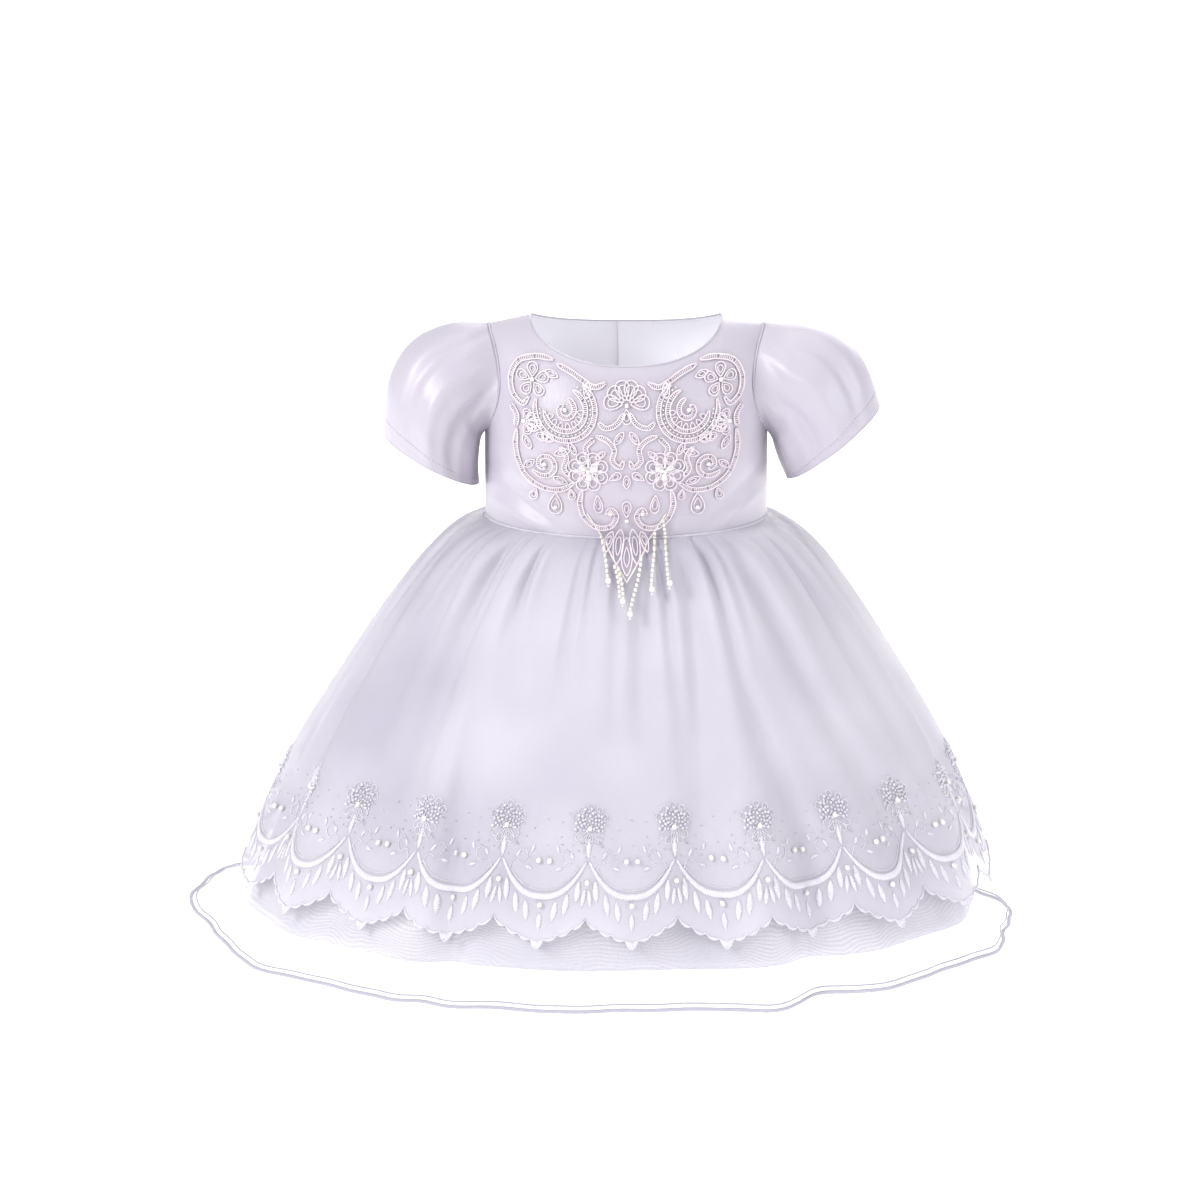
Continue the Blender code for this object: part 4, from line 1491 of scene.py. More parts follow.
RIGHT_SLEEVE = (
    SleeveRing(0.102, -0.0050, 0.0892, -0.0765, 0.0320),
    SleeveRing(0.122, -0.0105, 0.0902, -0.0830, 0.0360),
    SleeveRing(0.138, -0.0240, 0.0908, -0.0900, 0.0380),
    SleeveRing(0.147, -0.0460, 0.0910, -0.0970, 0.0375),
    SleeveRing(0.149, -0.0740, 0.0905, -0.1045, 0.0355),
)
LEFT_SLEEVE = (
    SleeveRing(0.103, -0.0045, 0.0896, -0.0770, 0.0320),
    SleeveRing(0.122, -0.0080, 0.0915, -0.0835, 0.0360),
    SleeveRing(0.138, -0.0185, 0.0935, -0.0895, 0.0385),
    SleeveRing(0.149, -0.0350, 0.0960, -0.0955, 0.0385),
    SleeveRing(0.156, -0.0560, 0.0985, -0.1010, 0.0370),
)
RIGHT_CREASES = (
    Crease((40, 8), (62, 88), 9, -0.0026),
    Crease((75, 15), (88, 95), 8, 0.0029),
    Crease((110, 10), (118, 90), 9, -0.0029),
    Crease((140, 20), (146, 96), 8, 0.0022),
    Crease((320, 10), (300, 90), 10, -0.0026),
    Crease((265, 15), (255, 90), 10, 0.0029),
    Crease((225, 10), (218, 90), 9, -0.0026),
)
LEFT_CREASES = (
    Crease((35, 12), (55, 92), 9, -0.0027),
    Crease((70, 8), (82, 90), 9, 0.0026),
    Crease((104, 14), (108, 95), 8, -0.0026),
    Crease((136, 18), (142, 92), 8, 0.0024),
    Crease((325, 8), (308, 88), 10, -0.0024),
    Crease((275, 12), (268, 92), 10, 0.0026),
    Crease((232, 14), (226, 88), 9, -0.0027),
)


@dataclass
class Sleeve:
    """A short satin sleeve, from the armhole's loop to its open hem.

    Its creases are in degrees round it and hundredths of the way to its hem.
    """

    name: str
    hand: int
    rings: tuple[SleeveRing, ...]
    form: BodiceForm
    creases: tuple[Crease, ...]
    columns: int = 160
    rows: int = 64
    seam_gap: float = 0.0003
    cloth: float = 0.0006
    cut: Flat = (0.222, 0.078)
    cut_share: float = 0.85
    stitches: int = 84
    stitch_share: float = 0.90
    stitch_reach: float = 0.0009
    stitch_radius: float = 0.00032
    stitch_lift: float = 0.0001

    def surface(self, turn: Array, out: Array, lift: float = 0.0) -> Array:
        """The sleeve at a turn round it and a share of the way to its hem.

        Each ring's point is half the sum of the top and the underarm point, plus the
        cosine of the turn times half their difference, less the sine times the depth.
        A smooth curve leads through the rings, and creases move it outwards.

        Args:
            turn: 0 at the top, growing over the front.
            out: 0 at the armhole and 1 at the hem.
            lift: how far off the cloth.

        Returns:
            A grid of points, places out by places round.
        """
        rows = [self.form.armhole(turn, self.hand) + np.array([self.hand * self.seam_gap, 0, 0])]
        for ring in self.rings:
            top = np.array([self.hand * ring.top_x, 0.0, ring.top_z])
            under = np.array([self.hand * ring.under_x, 0.0, ring.under_z])
            deep = np.array([0.0, -ring.half_depth, 0.0])
            swing = np.cos(turn)[:, None] * (top - under) / 2 + np.sin(turn)[:, None] * deep
            rows.append((top + under) / 2 + swing)
        table = np.array(rows)
        run = lengths_along(table[:, 0])
        shape = (len(out), len(turn), 3)
        points = smooth_interp(out * run[-1], run, table.reshape(len(rows), -1)).reshape(shape)
        relief = creased(np.degrees(turn)[None, :], 100 * out[:, None], self.creases)
        return points + (relief + lift)[..., None] * self.normals(points)

    def normals(self, points: Array) -> Array:
        """Outward normals of a grid that is closed across: cross products of its slopes.

        Args:
            points: rows by columns of points.

        Returns:
            A unit normal for each point.
        """
        across = np.roll(points, -1, axis=1) - np.roll(points, 1, axis=1)
        found = unit(np.cross(across, np.gradient(points, axis=0)))
        outward = np.sum(found * (points - points.mean(axis=1, keepdims=True)))
        return found if outward > 0 else -found

    def turns(self) -> Array:
        """The columns' places round the sleeve."""
        return np.arange(self.columns) / self.columns * TURN

    def build(self) -> None:
        """Makes the sleeve, its armhole seam and hem edge, and the stitching over the hem."""
        grid = self.surface(self.turns(), np.linspace(0, 1, self.rows))
        shape = grid_shape(grid, self.cut, closed=True)
        if self.hand > 0:
            shape = shape.flipped()
        made = add_piece(f"{self.name}_satin", shape, SATIN, self.name, self.cloth)
        rings = [self.ring_cord(0.0, 0.0008, 0.0002), self.ring_cord(1.0, 0.0005, -0.0003)]
        add_piece(f"{self.name}_seams", Shape.joined(rings), SATIN)
        add_piece(f"{self.name}_hem_stitching", self.hem_stitches(), SEAM_THREAD)

    def ring_cord(self, out: float, radius: float, lift: float) -> Shape:
        """A cord round the sleeve at one of its ends.

        Args:
            out: 0 at the armhole or 1 at the hem.
            radius: the cord's.
            lift: how far its middle lies off the cloth.

        Returns:
            The cord.
        """
        beyond = 0.02  # a share of the way, to read the direction down the sleeve
        near = self.surface(self.turns(), np.clip([out - beyond, out + beyond], 0, 1), lift)
        loop = near[0] if out < 0.5 else near[1]
        down = unit(near[1] - near[0])
        return round_cord(loop, down, np.cross(ahead_of(loop, True), down), radius, True)

    def hem_stitches(self) -> Shape:
        """Small stitches in a row above the hem: beads drawn out along the loop.

        Returns:
            All stitches.
        """
        turn = (np.arange(self.stitches) + 0.5) / self.stitches * TURN
        row = self.surface(turn, np.array([self.stitch_share, 1.0]), self.stitch_lift)[0]
        ahead = ahead_of(row, True)
        ahead = ahead * np.where(ahead[:, :1] < 0, -1, 1)  # both ends are alike, the faces are not
        bead = ball(2)
        flat = replace(bead, points=bead.points * np.array([0, 1, 1])).copied(row, self.stitch_radius)
        drawn = self.stitch_reach * bead.points[:, 0][None, :, None] * ahead[:, None]
        return replace(flat, points=flat.points + drawn.reshape(-1, 3))


@dataclass
class Skirts:
    """Three gathered skirts: embroidered organza over plain organza over satin."""

    over_columns: int = 880
    over_rows: int = 60
    organza_columns: int = 528
    organza_rows: int = 72
    satin_columns: int = 352
    satin_rows: int = 56
    satin_cloth: float = 0.0006
    scalloped_from: float = 0.72
    side_lift: float = 0.004
    right_lift: Triple = (0.018, -98.0, 26.0)
    tuck: Triple = (0.0065, 24.0, 4.5)
    ripples: tuple[Triple, ...] = ((0.0006, 23, 1.3), (0.0005, 41, 0.0))
    hem_cords: tuple[Triple, ...] = ((0.0011, 0.0, 0.0013), (-0.0026, -0.0005, 0.0006))
    over_cut: Flat = (1.27, 0.250)
    organza_cut: Flat = (1.36, 0.285)
    organza_cut_share: float = 0.86
    satin_cut: Flat = (1.22, 0.262)
    over: SkirtForm = field(default_factory=lambda: SkirtForm(OVERSKIRT_RINGS, 44, SEED, 2.4, 1.0))
    organza: SkirtForm = field(default_factory=lambda: SkirtForm(inner_rings(True), 22, SEED + 1, 1.6, 0.9))
    satin: SkirtForm = field(default_factory=lambda: SkirtForm(inner_rings(False), 22, SEED + 2, 1.6, 0.7))

    def build(self) -> None:
        """Makes the three layers and the rolled hem of the plain organza."""
        self.add_overskirt()
        self.add_organza()
        self.add_satin()

    def add_overskirt(self) -> None:
        """The outer layer, whose lowest rows close up to the scalloped edge."""
        across, down = self.over.grid(self.over_columns, self.over_rows)
        scallop = self.over.hem_length / HEM.scallops
        rise = HEM.edge((across - HEM.phase) / scallop)
        end = self.over.down_at(self.over.rings[-1].z + rise)
        closing = ease((down - self.scalloped_from) / (1 - self.scalloped_from))
        grid = self.over.ring_point(across, down * (1 - closing * (1 - end)))
        shape = grid_shape(grid, self.over_cut, closed=True)
        made = add_piece("overskirt_organza", shape, OVER_ORGANZA_PAINTED_GLOW, "overskirt")

    def lifted(self, across: Array, down: Array) -> Array:
        """The plain organza's points: its hem rises at the sides, ripples and has one tight tuck.

        The rise is a squared sine of the angle and a bell at the wearer's right, the tuck a
        narrow bell, and the ripples are sines. All grow evenly below the overskirt's hem.

        Args:
            across: lengths along the hem.
            down: shares of the way down.

        Returns:
            A point for each place.
        """
        points = self.organza.ring_point(across, down)
        angle = self.organza.angle(across)
        first = self.organza.stations[len(OVERSKIRT_RINGS) - 1]
        share = np.clip((down - first) / (1 - first), 0, 1)
        lift, tuck = (
            height * bell(wrapped(angle - math.radians(middle)), math.radians(width))
            for height, middle, width in (self.right_lift, self.tuck)
        )
        ripple = sum(height * np.sin(waves * angle + start) for height, waves, start in self.ripples)
        points[..., 2] += share * (self.side_lift * np.sin(angle) ** 2 + lift)
        points[..., 1] += share * (ripple * np.cos(angle) - tuck)
        points[..., 0] -= share * ripple * np.sin(angle)
        return points

    def add_organza(self) -> None:
        """The plain layer, and the cord rolled into its hem."""
        grid = self.lifted(*self.organza.grid(self.organza_columns, self.organza_rows))
        shape = grid_shape(grid, self.organza_cut, closed=True)
        made = add_piece("plain_organza", shape, UNDER_ORGANZA, "organza_skirt")
        cord = self.hem_roll(grid[-1], grid[-2])
        roll = add_piece("rolled_hem_cord", cord, ROLLED_HEM, "hem_cord")

    def hem_roll(self, edge: Array, above: Array) -> Shape:
        """The rolled hem: a fat cord with a thinner ridge over it, round the organza's edge.

        Args:
            edge: the lowest row of the organza.
            above: the row over it.

        Returns:
            Both cords as one shape.
        """
        down = unit(edge - above)
        out = -unit(np.cross(ahead_of(edge, True), down))
        cords = [
            round_cord(edge + down * drop + out * lift, down, out, radius, True)
            for drop, lift, radius in self.hem_cords
        ]
        return Shape.joined(cords).flipped()

    def add_satin(self) -> None:
        """The lining skirt, which shows below the overskirt and through it."""
        grid = self.satin.ring_point(*self.satin.grid(self.satin_columns, self.satin_rows))
        shape = grid_shape(grid, self.satin_cut, closed=True)
        made = add_piece("lining_satin", shape, LINING_SATIN_PAINTED_LIGHT_AND_SHADE, "satin_skirt", self.satin_cloth)


@dataclass
class HemEmbroidery:
    """The overskirt's border: swags, fans of leaves, a worked edge, flowers and pearls.

    Each motif is flat: across from a cusp of the scallops, and up from the hem's lowest line.
    """

    skirt: SkirtForm
    band_width: float = 0.0058
    edge_points: int = 80
    thread_lift: float = 0.0002
    swag_top: float = 0.054
    swag_low: float = 0.031
    cord_rise: float = 0.0040
    flower_up: float = 0.073
    flower_radius: float = 0.0105
    flower_knots: int = 64
    seed_knots: int = 46
    junction_up: float = 0.040
    pair_up: float = 0.052
    pair_half: float = 0.0037
    lobe_pearl_up: float = 0.026
    pearl_radius: float = 0.0017
    fans: tuple[Triple, ...] = ((0.09, 0.0135, 5), (0.205, 0.0135, 9), (0.33, 0.0125, 8))
    tendril: tuple[Flat, ...] = (
        (0.0045, 0.0130), (0.0085, 0.0210), (0.0135, 0.0190), (0.0175, 0.0235), (0.0145, 0.0275),
        (0.0120, 0.0250),
    )
    tendril_leaves: tuple[Triple, ...] = ((0.0095, 0.0225, 60), (0.0165, 0.0175, -20), (0.0195, 0.0255, 70))

    @property
    def pitch(self) -> float:
        """Width of one scallop."""
        return self.skirt.hem_length / HEM.scallops

    def swag_up(self, place: Array | float) -> Array | float:
        """Height of the swag: a power of the distance from the middle between two junctions."""
        return self.swag_low + (self.swag_top - self.swag_low) * np.abs(2 * place - 1) ** 2.4

    def edge_band(self) -> list[Shape]:
        """Buttonhole stitch along the cut edge: a flat band and a cord on its rim.

        Returns:
            The band and the cord.
        """
        overlap, spare = 1, 2  # points past each cusp, and past those only for the directions
        reach = overlap + spare
        place = np.arange(-reach, self.edge_points + reach) / self.edge_points
        outer = HEM.edge(place)
        inner = HEM.lobe(place) + self.band_width
        line = np.stack([place * self.pitch, outer], axis=-1)
        band = np.stack([place * self.pitch, (inner + outer) / 2], axis=-1)
        rim = line + 0.0003 * left_of(ahead_of(line))
        return [
            tube(band[spare:-spare], 0.45 * (inner - outer)[spare:-spare], 0.00045, self.thread_lift),
            tube(rim[spare:-spare], 0.0005, 0.00065, self.thread_lift),
        ]

    def swag(self) -> list[Shape]:
        """A padded swag, fullest at its lowest place by a power of a sine, and a fine cord above it.

        Returns:
            The swag and the cord.
        """
        place = np.linspace(0.015, 0.985, 48)
        path = np.stack([place * self.pitch, self.swag_up(place)], axis=-1)
        full = 0.0006 + 0.0016 * np.sin(math.pi * place) ** 0.9
        above = path + np.array([0.0, self.cord_rise])
        return [
            tube(path, full, 0.55 * full + 0.0002, self.thread_lift),
            tube(above[4:-4], 0.00028, 0.0003, self.thread_lift, 4),
        ]

    def leaf(self, foot: Flat, length: float, width: float, aim: float) -> Shape:
        """One padded leaf of satin stitch, tapered to both ends.

        Args:
            foot: where it starts.
            length: from the foot to the tip.
            width: across its middle.
            aim: its direction in degrees.

        Returns:
            The leaf.
        """
        full = swell(10, 0.12)
        along = np.linspace(0, length, len(full))
        path = aimed(foot, along, np.zeros_like(along), aim)
        return tube(path, width / 2 * full, 0.0006 * full + 0.0001, self.thread_lift)

    def fan(self) -> list[Shape]:
        """Leaves hanging from the swag, splayed from the junctions towards the lobe.

        Returns:
            The leaves from left to right, and the one in the middle.
        """
        beyond = [(1 - place, length, -lean) for place, length, lean in self.fans[::-1]]
        parts = []
        for place, length, lean in (*self.fans, *beyond):
            foot = (place * self.pitch, self.swag_up(place) - self.cord_rise)
            parts.append(self.leaf(foot, min(length, foot[1] - HEM.depth), 0.0042, -90 + lean))
        parts.append(self.leaf((0.5 * self.pitch, 0.0215), 0.0105, 0.0036, -90))
        return parts

    def tendrils(self) -> list[Shape]:
        """Curls above the swag, on both sides of each flower's foot.

        Returns:
            A stem and its leaves for each side.
        """
        parts = []
        for hand, foot in ((1, 0.0), (-1, self.pitch)):
            anchors = [(foot + hand * along, self.swag_low + up) for along, up in self.tendril]
            parts.append(tube(smooth_path(anchors, 26), 0.00032, 0.00032, self.thread_lift, 4))
            for along, up, aim in self.tendril_leaves:
                place = (foot + hand * along, self.swag_low + up)
                parts.append(self.leaf(place, 0.0050, 0.0020, aim if hand > 0 else 180 - aim))
        return parts

    def flower(self) -> list[Shape]:
        """A flower at a junction: a packed half-round of knots over looped lower petals.

        The knots lie on a sunflower's spiral: each is turned by the golden angle from the
        last, at a radius that goes with the root of its number.

        Returns:
            The knots, the petals, the stem and two leaves.
        """
        golden_angle = 2.39996
        draw = np.random.default_rng(SEED + 5)
        number = np.arange(self.flower_knots)
        radius = self.flower_radius * np.sqrt((number + 0.5) / self.flower_knots)
        angle = number * golden_angle
        places = np.stack([radius * np.cos(angle), self.flower_up + radius * np.sin(angle)], axis=-1)
        places = places[places[:, 1] > self.flower_up - 0.35 * self.flower_radius]
        places = places + draw.normal(0, 0.0002, places.shape)
        spots = np.hstack([places, np.full((len(places), 1), 0.0005)])
        parts = [ball(2).copied(spots, draw.uniform(0.0007, 0.0011, (len(places), 1)))]
        for aim in (-150, -120, -90, -60, -30):
            loop = teardrop((0.0, self.flower_up - 0.002), 0.0105, 0.0048, aim, 18)
            parts.append(tube(loop, 0.0004, 0.0004, self.thread_lift, 4, True))
        for aim in (25, 55, 90, 125, 155):
            tip = towards((0.0, self.flower_up), 0.8 * self.flower_radius, aim)
            loop = teardrop(tip, 0.0046, 0.0046, aim, 14)
            parts.append(tube(loop, 0.00038, 0.0004, self.thread_lift, 4, True))
        parts.append(self.leaf((0.0, self.swag_top - 0.0005), 0.0125, 0.0034, 90))
        for x, aim in ((-0.0010, -100), (0.0010, -80)):
            parts.append(self.leaf((x, self.junction_up - 0.0035), 0.0115, 0.0028, aim))
        return parts

    def knots(self) -> Shape:
        """Seed knots scattered over the border, denser beside the flowers.

        Returns:
            The knots of one scallop.
        """
        draw = np.random.default_rng(SEED + 6)
        count = self.seed_knots
        side = np.abs(draw.normal(0, 0.16, count)) * np.where(draw.uniform(size=count) < 0.5, 1, -1)
        up = self.flower_up - 0.004 + draw.uniform(-0.016, 0.012, count)
        spots = np.stack([side % 1.0 * self.pitch, up, np.full(count, 0.0003)], axis=-1)
        return ball(1).copied(spots, draw.uniform(0.0004, 0.0006, (count, 1)))

    def pearls(self) -> Shape:
        """One scallop's pearls: at the junction, in a pair, in the lobe and in the flower.

        Returns:
            The pearls.
        """
        half = self.pitch / 2
        places = [
            (0.0, self.junction_up),
            (half - self.pair_half, self.pair_up),
            (half + self.pair_half, self.pair_up),
            (half, self.lobe_pearl_up),
            (0.0, self.flower_up - 0.0015),
        ]
        spots = np.array([(across, up, self.pearl_radius * 0.8) for across, up in places])
        return ball(4).copied(spots, self.pearl_radius)

    def add_border(self, name: str, parts: list[Shape], finish: Finish) -> None:
        """A motif once for each scallop, laid on the skirt.

        Args:
            name: the piece's name.
            parts: one scallop's motif.
            finish: what it is made of.
        """
        motif = Shape.joined(parts)
        shifts = [np.array([HEM.phase + k * self.pitch, 0.0, 0.0]) for k in range(HEM.scallops)]
        row = Shape.joined([replace(motif, points=motif.points + shift) for shift in shifts])
        add_piece(name, self.skirt.lay(row), finish)

    def build(self) -> None:
        """Makes the border in three pieces: the worked edge, the flowers and the pearls."""
        edge = [*self.edge_band(), *self.swag(), *self.fan(), *self.tendrils()]
        self.add_border("hem_border", edge, HEM_THREAD)
        self.add_border("hem_flowers", [*self.flower(), self.knots()], HEM_THREAD)
        self.add_border("hem_pearls", [self.pearls()], PEARL)


@dataclass
class Applique:
    """Corded lace over the bodice's front, dropping in a V over the waist.

    Its tables are in millimetres and degrees, for the wearer's left half.
    """

    front: FrontForm
    net_lift: float = 0.0007
    net_columns: int = 200
    net_rows: int = 110
    cord_radius: float = 0.00038
    cord_lift: float = 0.0010
    band_gap: float = 0.00130
    band_step: float = 0.0011
    rung_step: float = 0.0013
    pearl_radius: float = 0.0013
    seed_radius: float = 0.0006
    upper_edge: tuple[Flat, ...] = (
        (0, -26.5), (16, -25.8), (31, -22.8), (45, -17), (54, -14.5), (62, -16), (71, -23),
    )
    lower_edge: tuple[Flat, ...] = (
        (0, -143), (24, -108), (30, -111), (44, -110), (49, -93), (58, -95), (66, -84), (70.5, -30),
    )
    hearts: tuple[Flat, ...] = (
        (23, -83), (56.5, -31.5), (37, -47), (9.5, -109), (42.5, -106.5), (49, -80.5), (61.5, -56),
    )
    middle_hearts: tuple[Flat, ...] = ((0, -43.5), (0, -113.5))
    volutes: tuple[tuple[float, ...], ...] = (
        (37, -47, 18, 18, 125, 0.70),
        (37, -47, 12.4, 12.4, 110, 0.68),
        (37, -47, 7, 2.6, 100, 0.95),
        (49, -80.5, 8.5, 2.6, -30, -1.2),
    )
    scrolls: tuple[tuple[Flat, ...], ...] = (
        ((1.5, -47.5), (6, -54), (12.5, -56.5), (17, -53)),
        ((18.5, -61), (12, -63.5), (7.5, -69), (8.5, -76), (4, -80), (1.8, -75.5)),
        ((57.5, -60.5), (53, -58.5), (52.5, -53.5)),
        ((40, -68.5), (36, -75), (37.5, -82), (34, -87)),
        ((19.5, -62.5), (24.5, -68), (23.5, -73.5)),
        ((66, -61), (66.5, -74), (62, -87), (52, -94.5), (40, -95.5), (31, -90.5)),
        ((44, -19.8), (54, -18.6), (64.5, -21.5), (69.5, -30), (68.5, -40), (62.5, -45.5), (58.5, -41)),
        ((12.5, -31), (19, -33.5), (25.5, -30.5), (33, -26), (42, -22)),
        ((69.5, -47), (66, -53), (66.5, -59.5)),
        (
            (26.5, -94), (28, -103), (25, -112), (17.5, -117.5), (9.5, -116.5), (6, -110.5), (9.5, -106),
            (12.5, -109.5),
        ),
    )
    blossoms: tuple[tuple[float, float, float, tuple[float, ...]], ...] = (
        (23, -83, 12.5, (22.5, 67.5, 112.5, 157.5, 202.5, 247.5, 292.5, 337.5)),
        (23, -83, 6.5, (0, 72, 144, 216, 288)),
        (56.5, -31.5, 10, (18, 90, 162, 234, 306)),
        (61.5, -56, 8, (110, 145, 180, 215, 250)),
        (49.5, -67.5, 7, (60, 100, 140)),
    )
    drops: tuple[tuple[float, ...], ...] = (
        (42.5, -97.6, 13, 8.4, -88),
        (54.5, -96.0, 7, 4.8, -72),
        (33.5, -94.5, 6.5, 4.4, -100),
        (17.5, -97.5, 11, 5.6, -95),
        (10.5, -88, 8, 4.6, 150),
    )
    leaves: tuple[tuple[float, ...], ...] = (
        (3.4, -118, 18, 6.0, -80),
        (8.5, -119.6, 11, 4.4, -68),
        (34, -70.5, 10, 4.4, -20),
        (30.5, -73, 8, 3.8, 60),
        (24, -40, 9, 4.2, 95),
        (57.5, -72, 9, 4.2, 60),
        (49, -26, 8, 4.0, 200),
        (2.0, -58.5, 9, 4.0, -55),
        (13, -70.5, 7, 3.4, -40),
        (44, -88, 9, 4.0, 200),
        (61.5, -84, 8, 3.8, 140),
    )

    def net(self) -> Shape:
        """The net ground: columns between the lace's upper and its finely scalloped lower edge.

        Returns:
            The net as a flat sheet.
        """
        half, scallop_depth, scallop_width = 0.0705, 0.0014, 0.0052
        x = np.linspace(-half, half, self.net_columns)
        side = np.abs(x)
        upper, lower = (
            np.interp(side, *(MM * np.array(edge)).T) for edge in (self.upper_edge, self.lower_edge)
        )
        lower = lower - scallop_depth * np.abs(np.sin(side / scallop_width))
        z = upper + np.linspace(0, 1, self.net_rows)[:, None] * (lower - upper)
        grid = np.stack([np.broadcast_to(x, z.shape), z, np.full(z.shape, self.net_lift)], axis=-1)
        return grid_shape(grid, (0.142, 0.12))

    def cord(self, path: Array, closed: bool = False, scale: float = 1.0) -> Shape:
        """One cord of the lace along a flat path."""
        radius = self.cord_radius * scale
        return tube(path, radius, radius, self.cord_lift, closed=closed)

    def ribbon(self, path: Array) -> list[Shape]:
        """Two cords side by side, which close in at both ends, with rungs of thread between them.

        Args:
            path: the middle line.

        Returns:
            The cords and the rungs.
        """
        length = lengths_along(path)[-1]
        path = evenly(path, max(8, int(length / self.band_step)))
        beside = left_of(ahead_of(path))
        open_share = np.minimum(1, 0.25 + 2.5 * np.sin(np.linspace(0, math.pi, len(path))))
        gap = self.band_gap * open_share[:, None] * beside
        parts = [self.cord(path + gap), self.cord(path - gap)]
        for spot in np.linspace(1, len(path) - 2, max(2, int(length / self.rung_step))).astype(int):
            ends = path[spot] + np.linspace(-1, 1, 3)[:, None] * gap[spot]
            parts.append(tube(ends, 0.00038, 0.00030, self.cord_lift - 0.0001, 4))
        return parts

    def filled_loop(self, loop: Array, inner: float) -> list[Shape]:
        """A closed cord with a smaller and finer one inside it."""
        middle = loop.mean(axis=0)
        return [self.cord(loop, True), self.cord(middle + (loop - middle) * inner, True, 0.8)]

    def drop(self, *sizes: float) -> list[Shape]:
        """A drop within a drop, from its x, z, length and width in millimetres and its aim."""
        x, z, length, width, aim = sizes
        return self.filled_loop(teardrop((MM * x, MM * z), MM * length, MM * width, aim), 0.55)

    def leaf(self, *sizes: float) -> list[Shape]:
        """A leaf within a leaf, from its x, z, length and width in millimetres and its aim."""
        x, z, length, width, aim = sizes
        return self.filled_loop(leaf_outline((MM * x, MM * z), MM * length, MM * width, aim), 0.5)

    def blossom(self, x: float, z: float, size: float, aims: tuple[float, ...]) -> list[Shape]:
        """Petals round a heart, each a drop within a drop.

        Args:
            x: the heart's place across, in millimetres.
            z: its height in millimetres.
            size: from the heart to the petals' round ends, in millimetres.
            aims: the petals' directions in degrees.

        Returns:
            The petals.
        """
        parts = []
        for aim in aims:
            parts += self.drop(*towards((x, z), 0.18 * size, aim), 0.8 * size, 0.62 * size, aim)
        return parts

    def half(self) -> list[Shape]:
        """The wearer's left side: its volutes, scrolls, blossoms, drops, leaves and small loops.

        Returns:
            The cords.
        """
        parts: list[Shape] = []
        for x, z, outer, inner, start, turns in self.volutes:
            parts += self.ribbon(spiral((MM * x, MM * z), MM * outer, MM * inner, start, turns))
        for anchors in self.scrolls:
            parts += self.ribbon(smooth_path([(MM * x, MM * z) for x, z in anchors], 60))
        for blossom in self.blossoms:
            parts += self.blossom(*blossom)
        for drop in self.drops:
            parts += self.drop(*drop)
        for leaf in self.leaves:
            parts += self.leaf(*leaf)
        x, z = self.volutes[0][:2]
        for aim in range(185, 360, 25):
            tip = towards((MM * x, MM * z), 0.0074, aim)
            parts.append(self.cord(teardrop(tip, 0.0036, 0.0030, aim, 12), True, 0.8))
        return parts

    def middle(self) -> list[Shape]:
        """The palmette under the neckline and the leaves and drop down to the tip of the V.

        Returns:
            The cords.
        """
        loops = self.filled_loop(teardrop((0.0, -0.1110), 0.0100, 0.0056, 90), 0.5)
        return [
            *self.blossom(0, -43, 14, (8, 41, 74, 106, 139, 172)),
            *self.drop(0, -45.5, 8.5, 5.5, -90),
            *self.leaf(0, -123.5, 18, 6.6, -90),
            *loops,
            *self.leaf(0, -93, 8, 4.2, 90),
        ]

    def pearls(self) -> Shape:
        """Pearls at the hearts of the blossoms and seed pearls along the largest volute.

        Returns:
            All pearls.
        """
        hearts = MM * np.array([*self.hearts, *((-x, z) for x, z in self.hearts), *self.middle_hearts])
        x, z = self.volutes[0][:2]
        row = evenly(spiral((MM * x, MM * z), 0.0152, 0.0152, 120, 0.66), 26)
        seeds = np.concatenate([row, row * np.array([-1, 1])])
        large, small = (
            ball(divisions).copied(np.hstack([places, np.full((len(places), 1), lift)]), radius)
            for places, lift, divisions, radius in (
                (hearts, self.cord_lift + 0.0006, 4, self.pearl_radius),
                (seeds, self.cord_lift, 2, self.seed_radius),
            )
        )
        return Shape.joined([large, small])

    def sequins(self) -> Shape:
        """Drop sequins round the largest blossom: flat drops with a raised middle.

        Returns:
            The sequins of both sides.
        """
        rings = ((1.0, 0.0012), (0.96, 0.0019), (0.55, 0.0025), (0.02, 0.0026))
        x, z = self.hearts[0]
        parts = []
        for aim in (35, 160, 262):
            loop = teardrop((MM * x, MM * z), 0.0062, 0.0038, aim, 20)
            middle = loop.mean(axis=0)
            grid = [
                np.hstack([middle + (loop - middle) * size, np.full((len(loop), 1), height)])
                for size, height in rings
            ]
            shape = grid_shape(np.array(grid), (0.02, 0.004), closed=True)
            parts += [shape, shape.mirrored()]
        return Shape.joined(parts)

    def build(self) -> None:
        """Makes the net, the cords, the pearls and the drop sequins of the lace."""
        add_piece("lace_net", self.front.lay(self.net()), LACE_NET)
        half = Shape.joined(self.half())
        cords = Shape.joined([half, half.mirrored(), *self.middle()])
        add_piece("lace_cords", self.front.lay(cords), LACE_CORD, "bodice_applique")
        add_piece("lace_pearls", self.front.lay(self.pearls()), PEARL)
        add_piece("lace_drop_sequins", self.front.lay(self.sequins()), SEQUIN)


@dataclass(frozen=True)
class Strand:
    """A string of beads: its root's x, its length, its foot's drift and how many lie side by side."""

    x: float
    length: float
    drift: float
    strings: int = 1


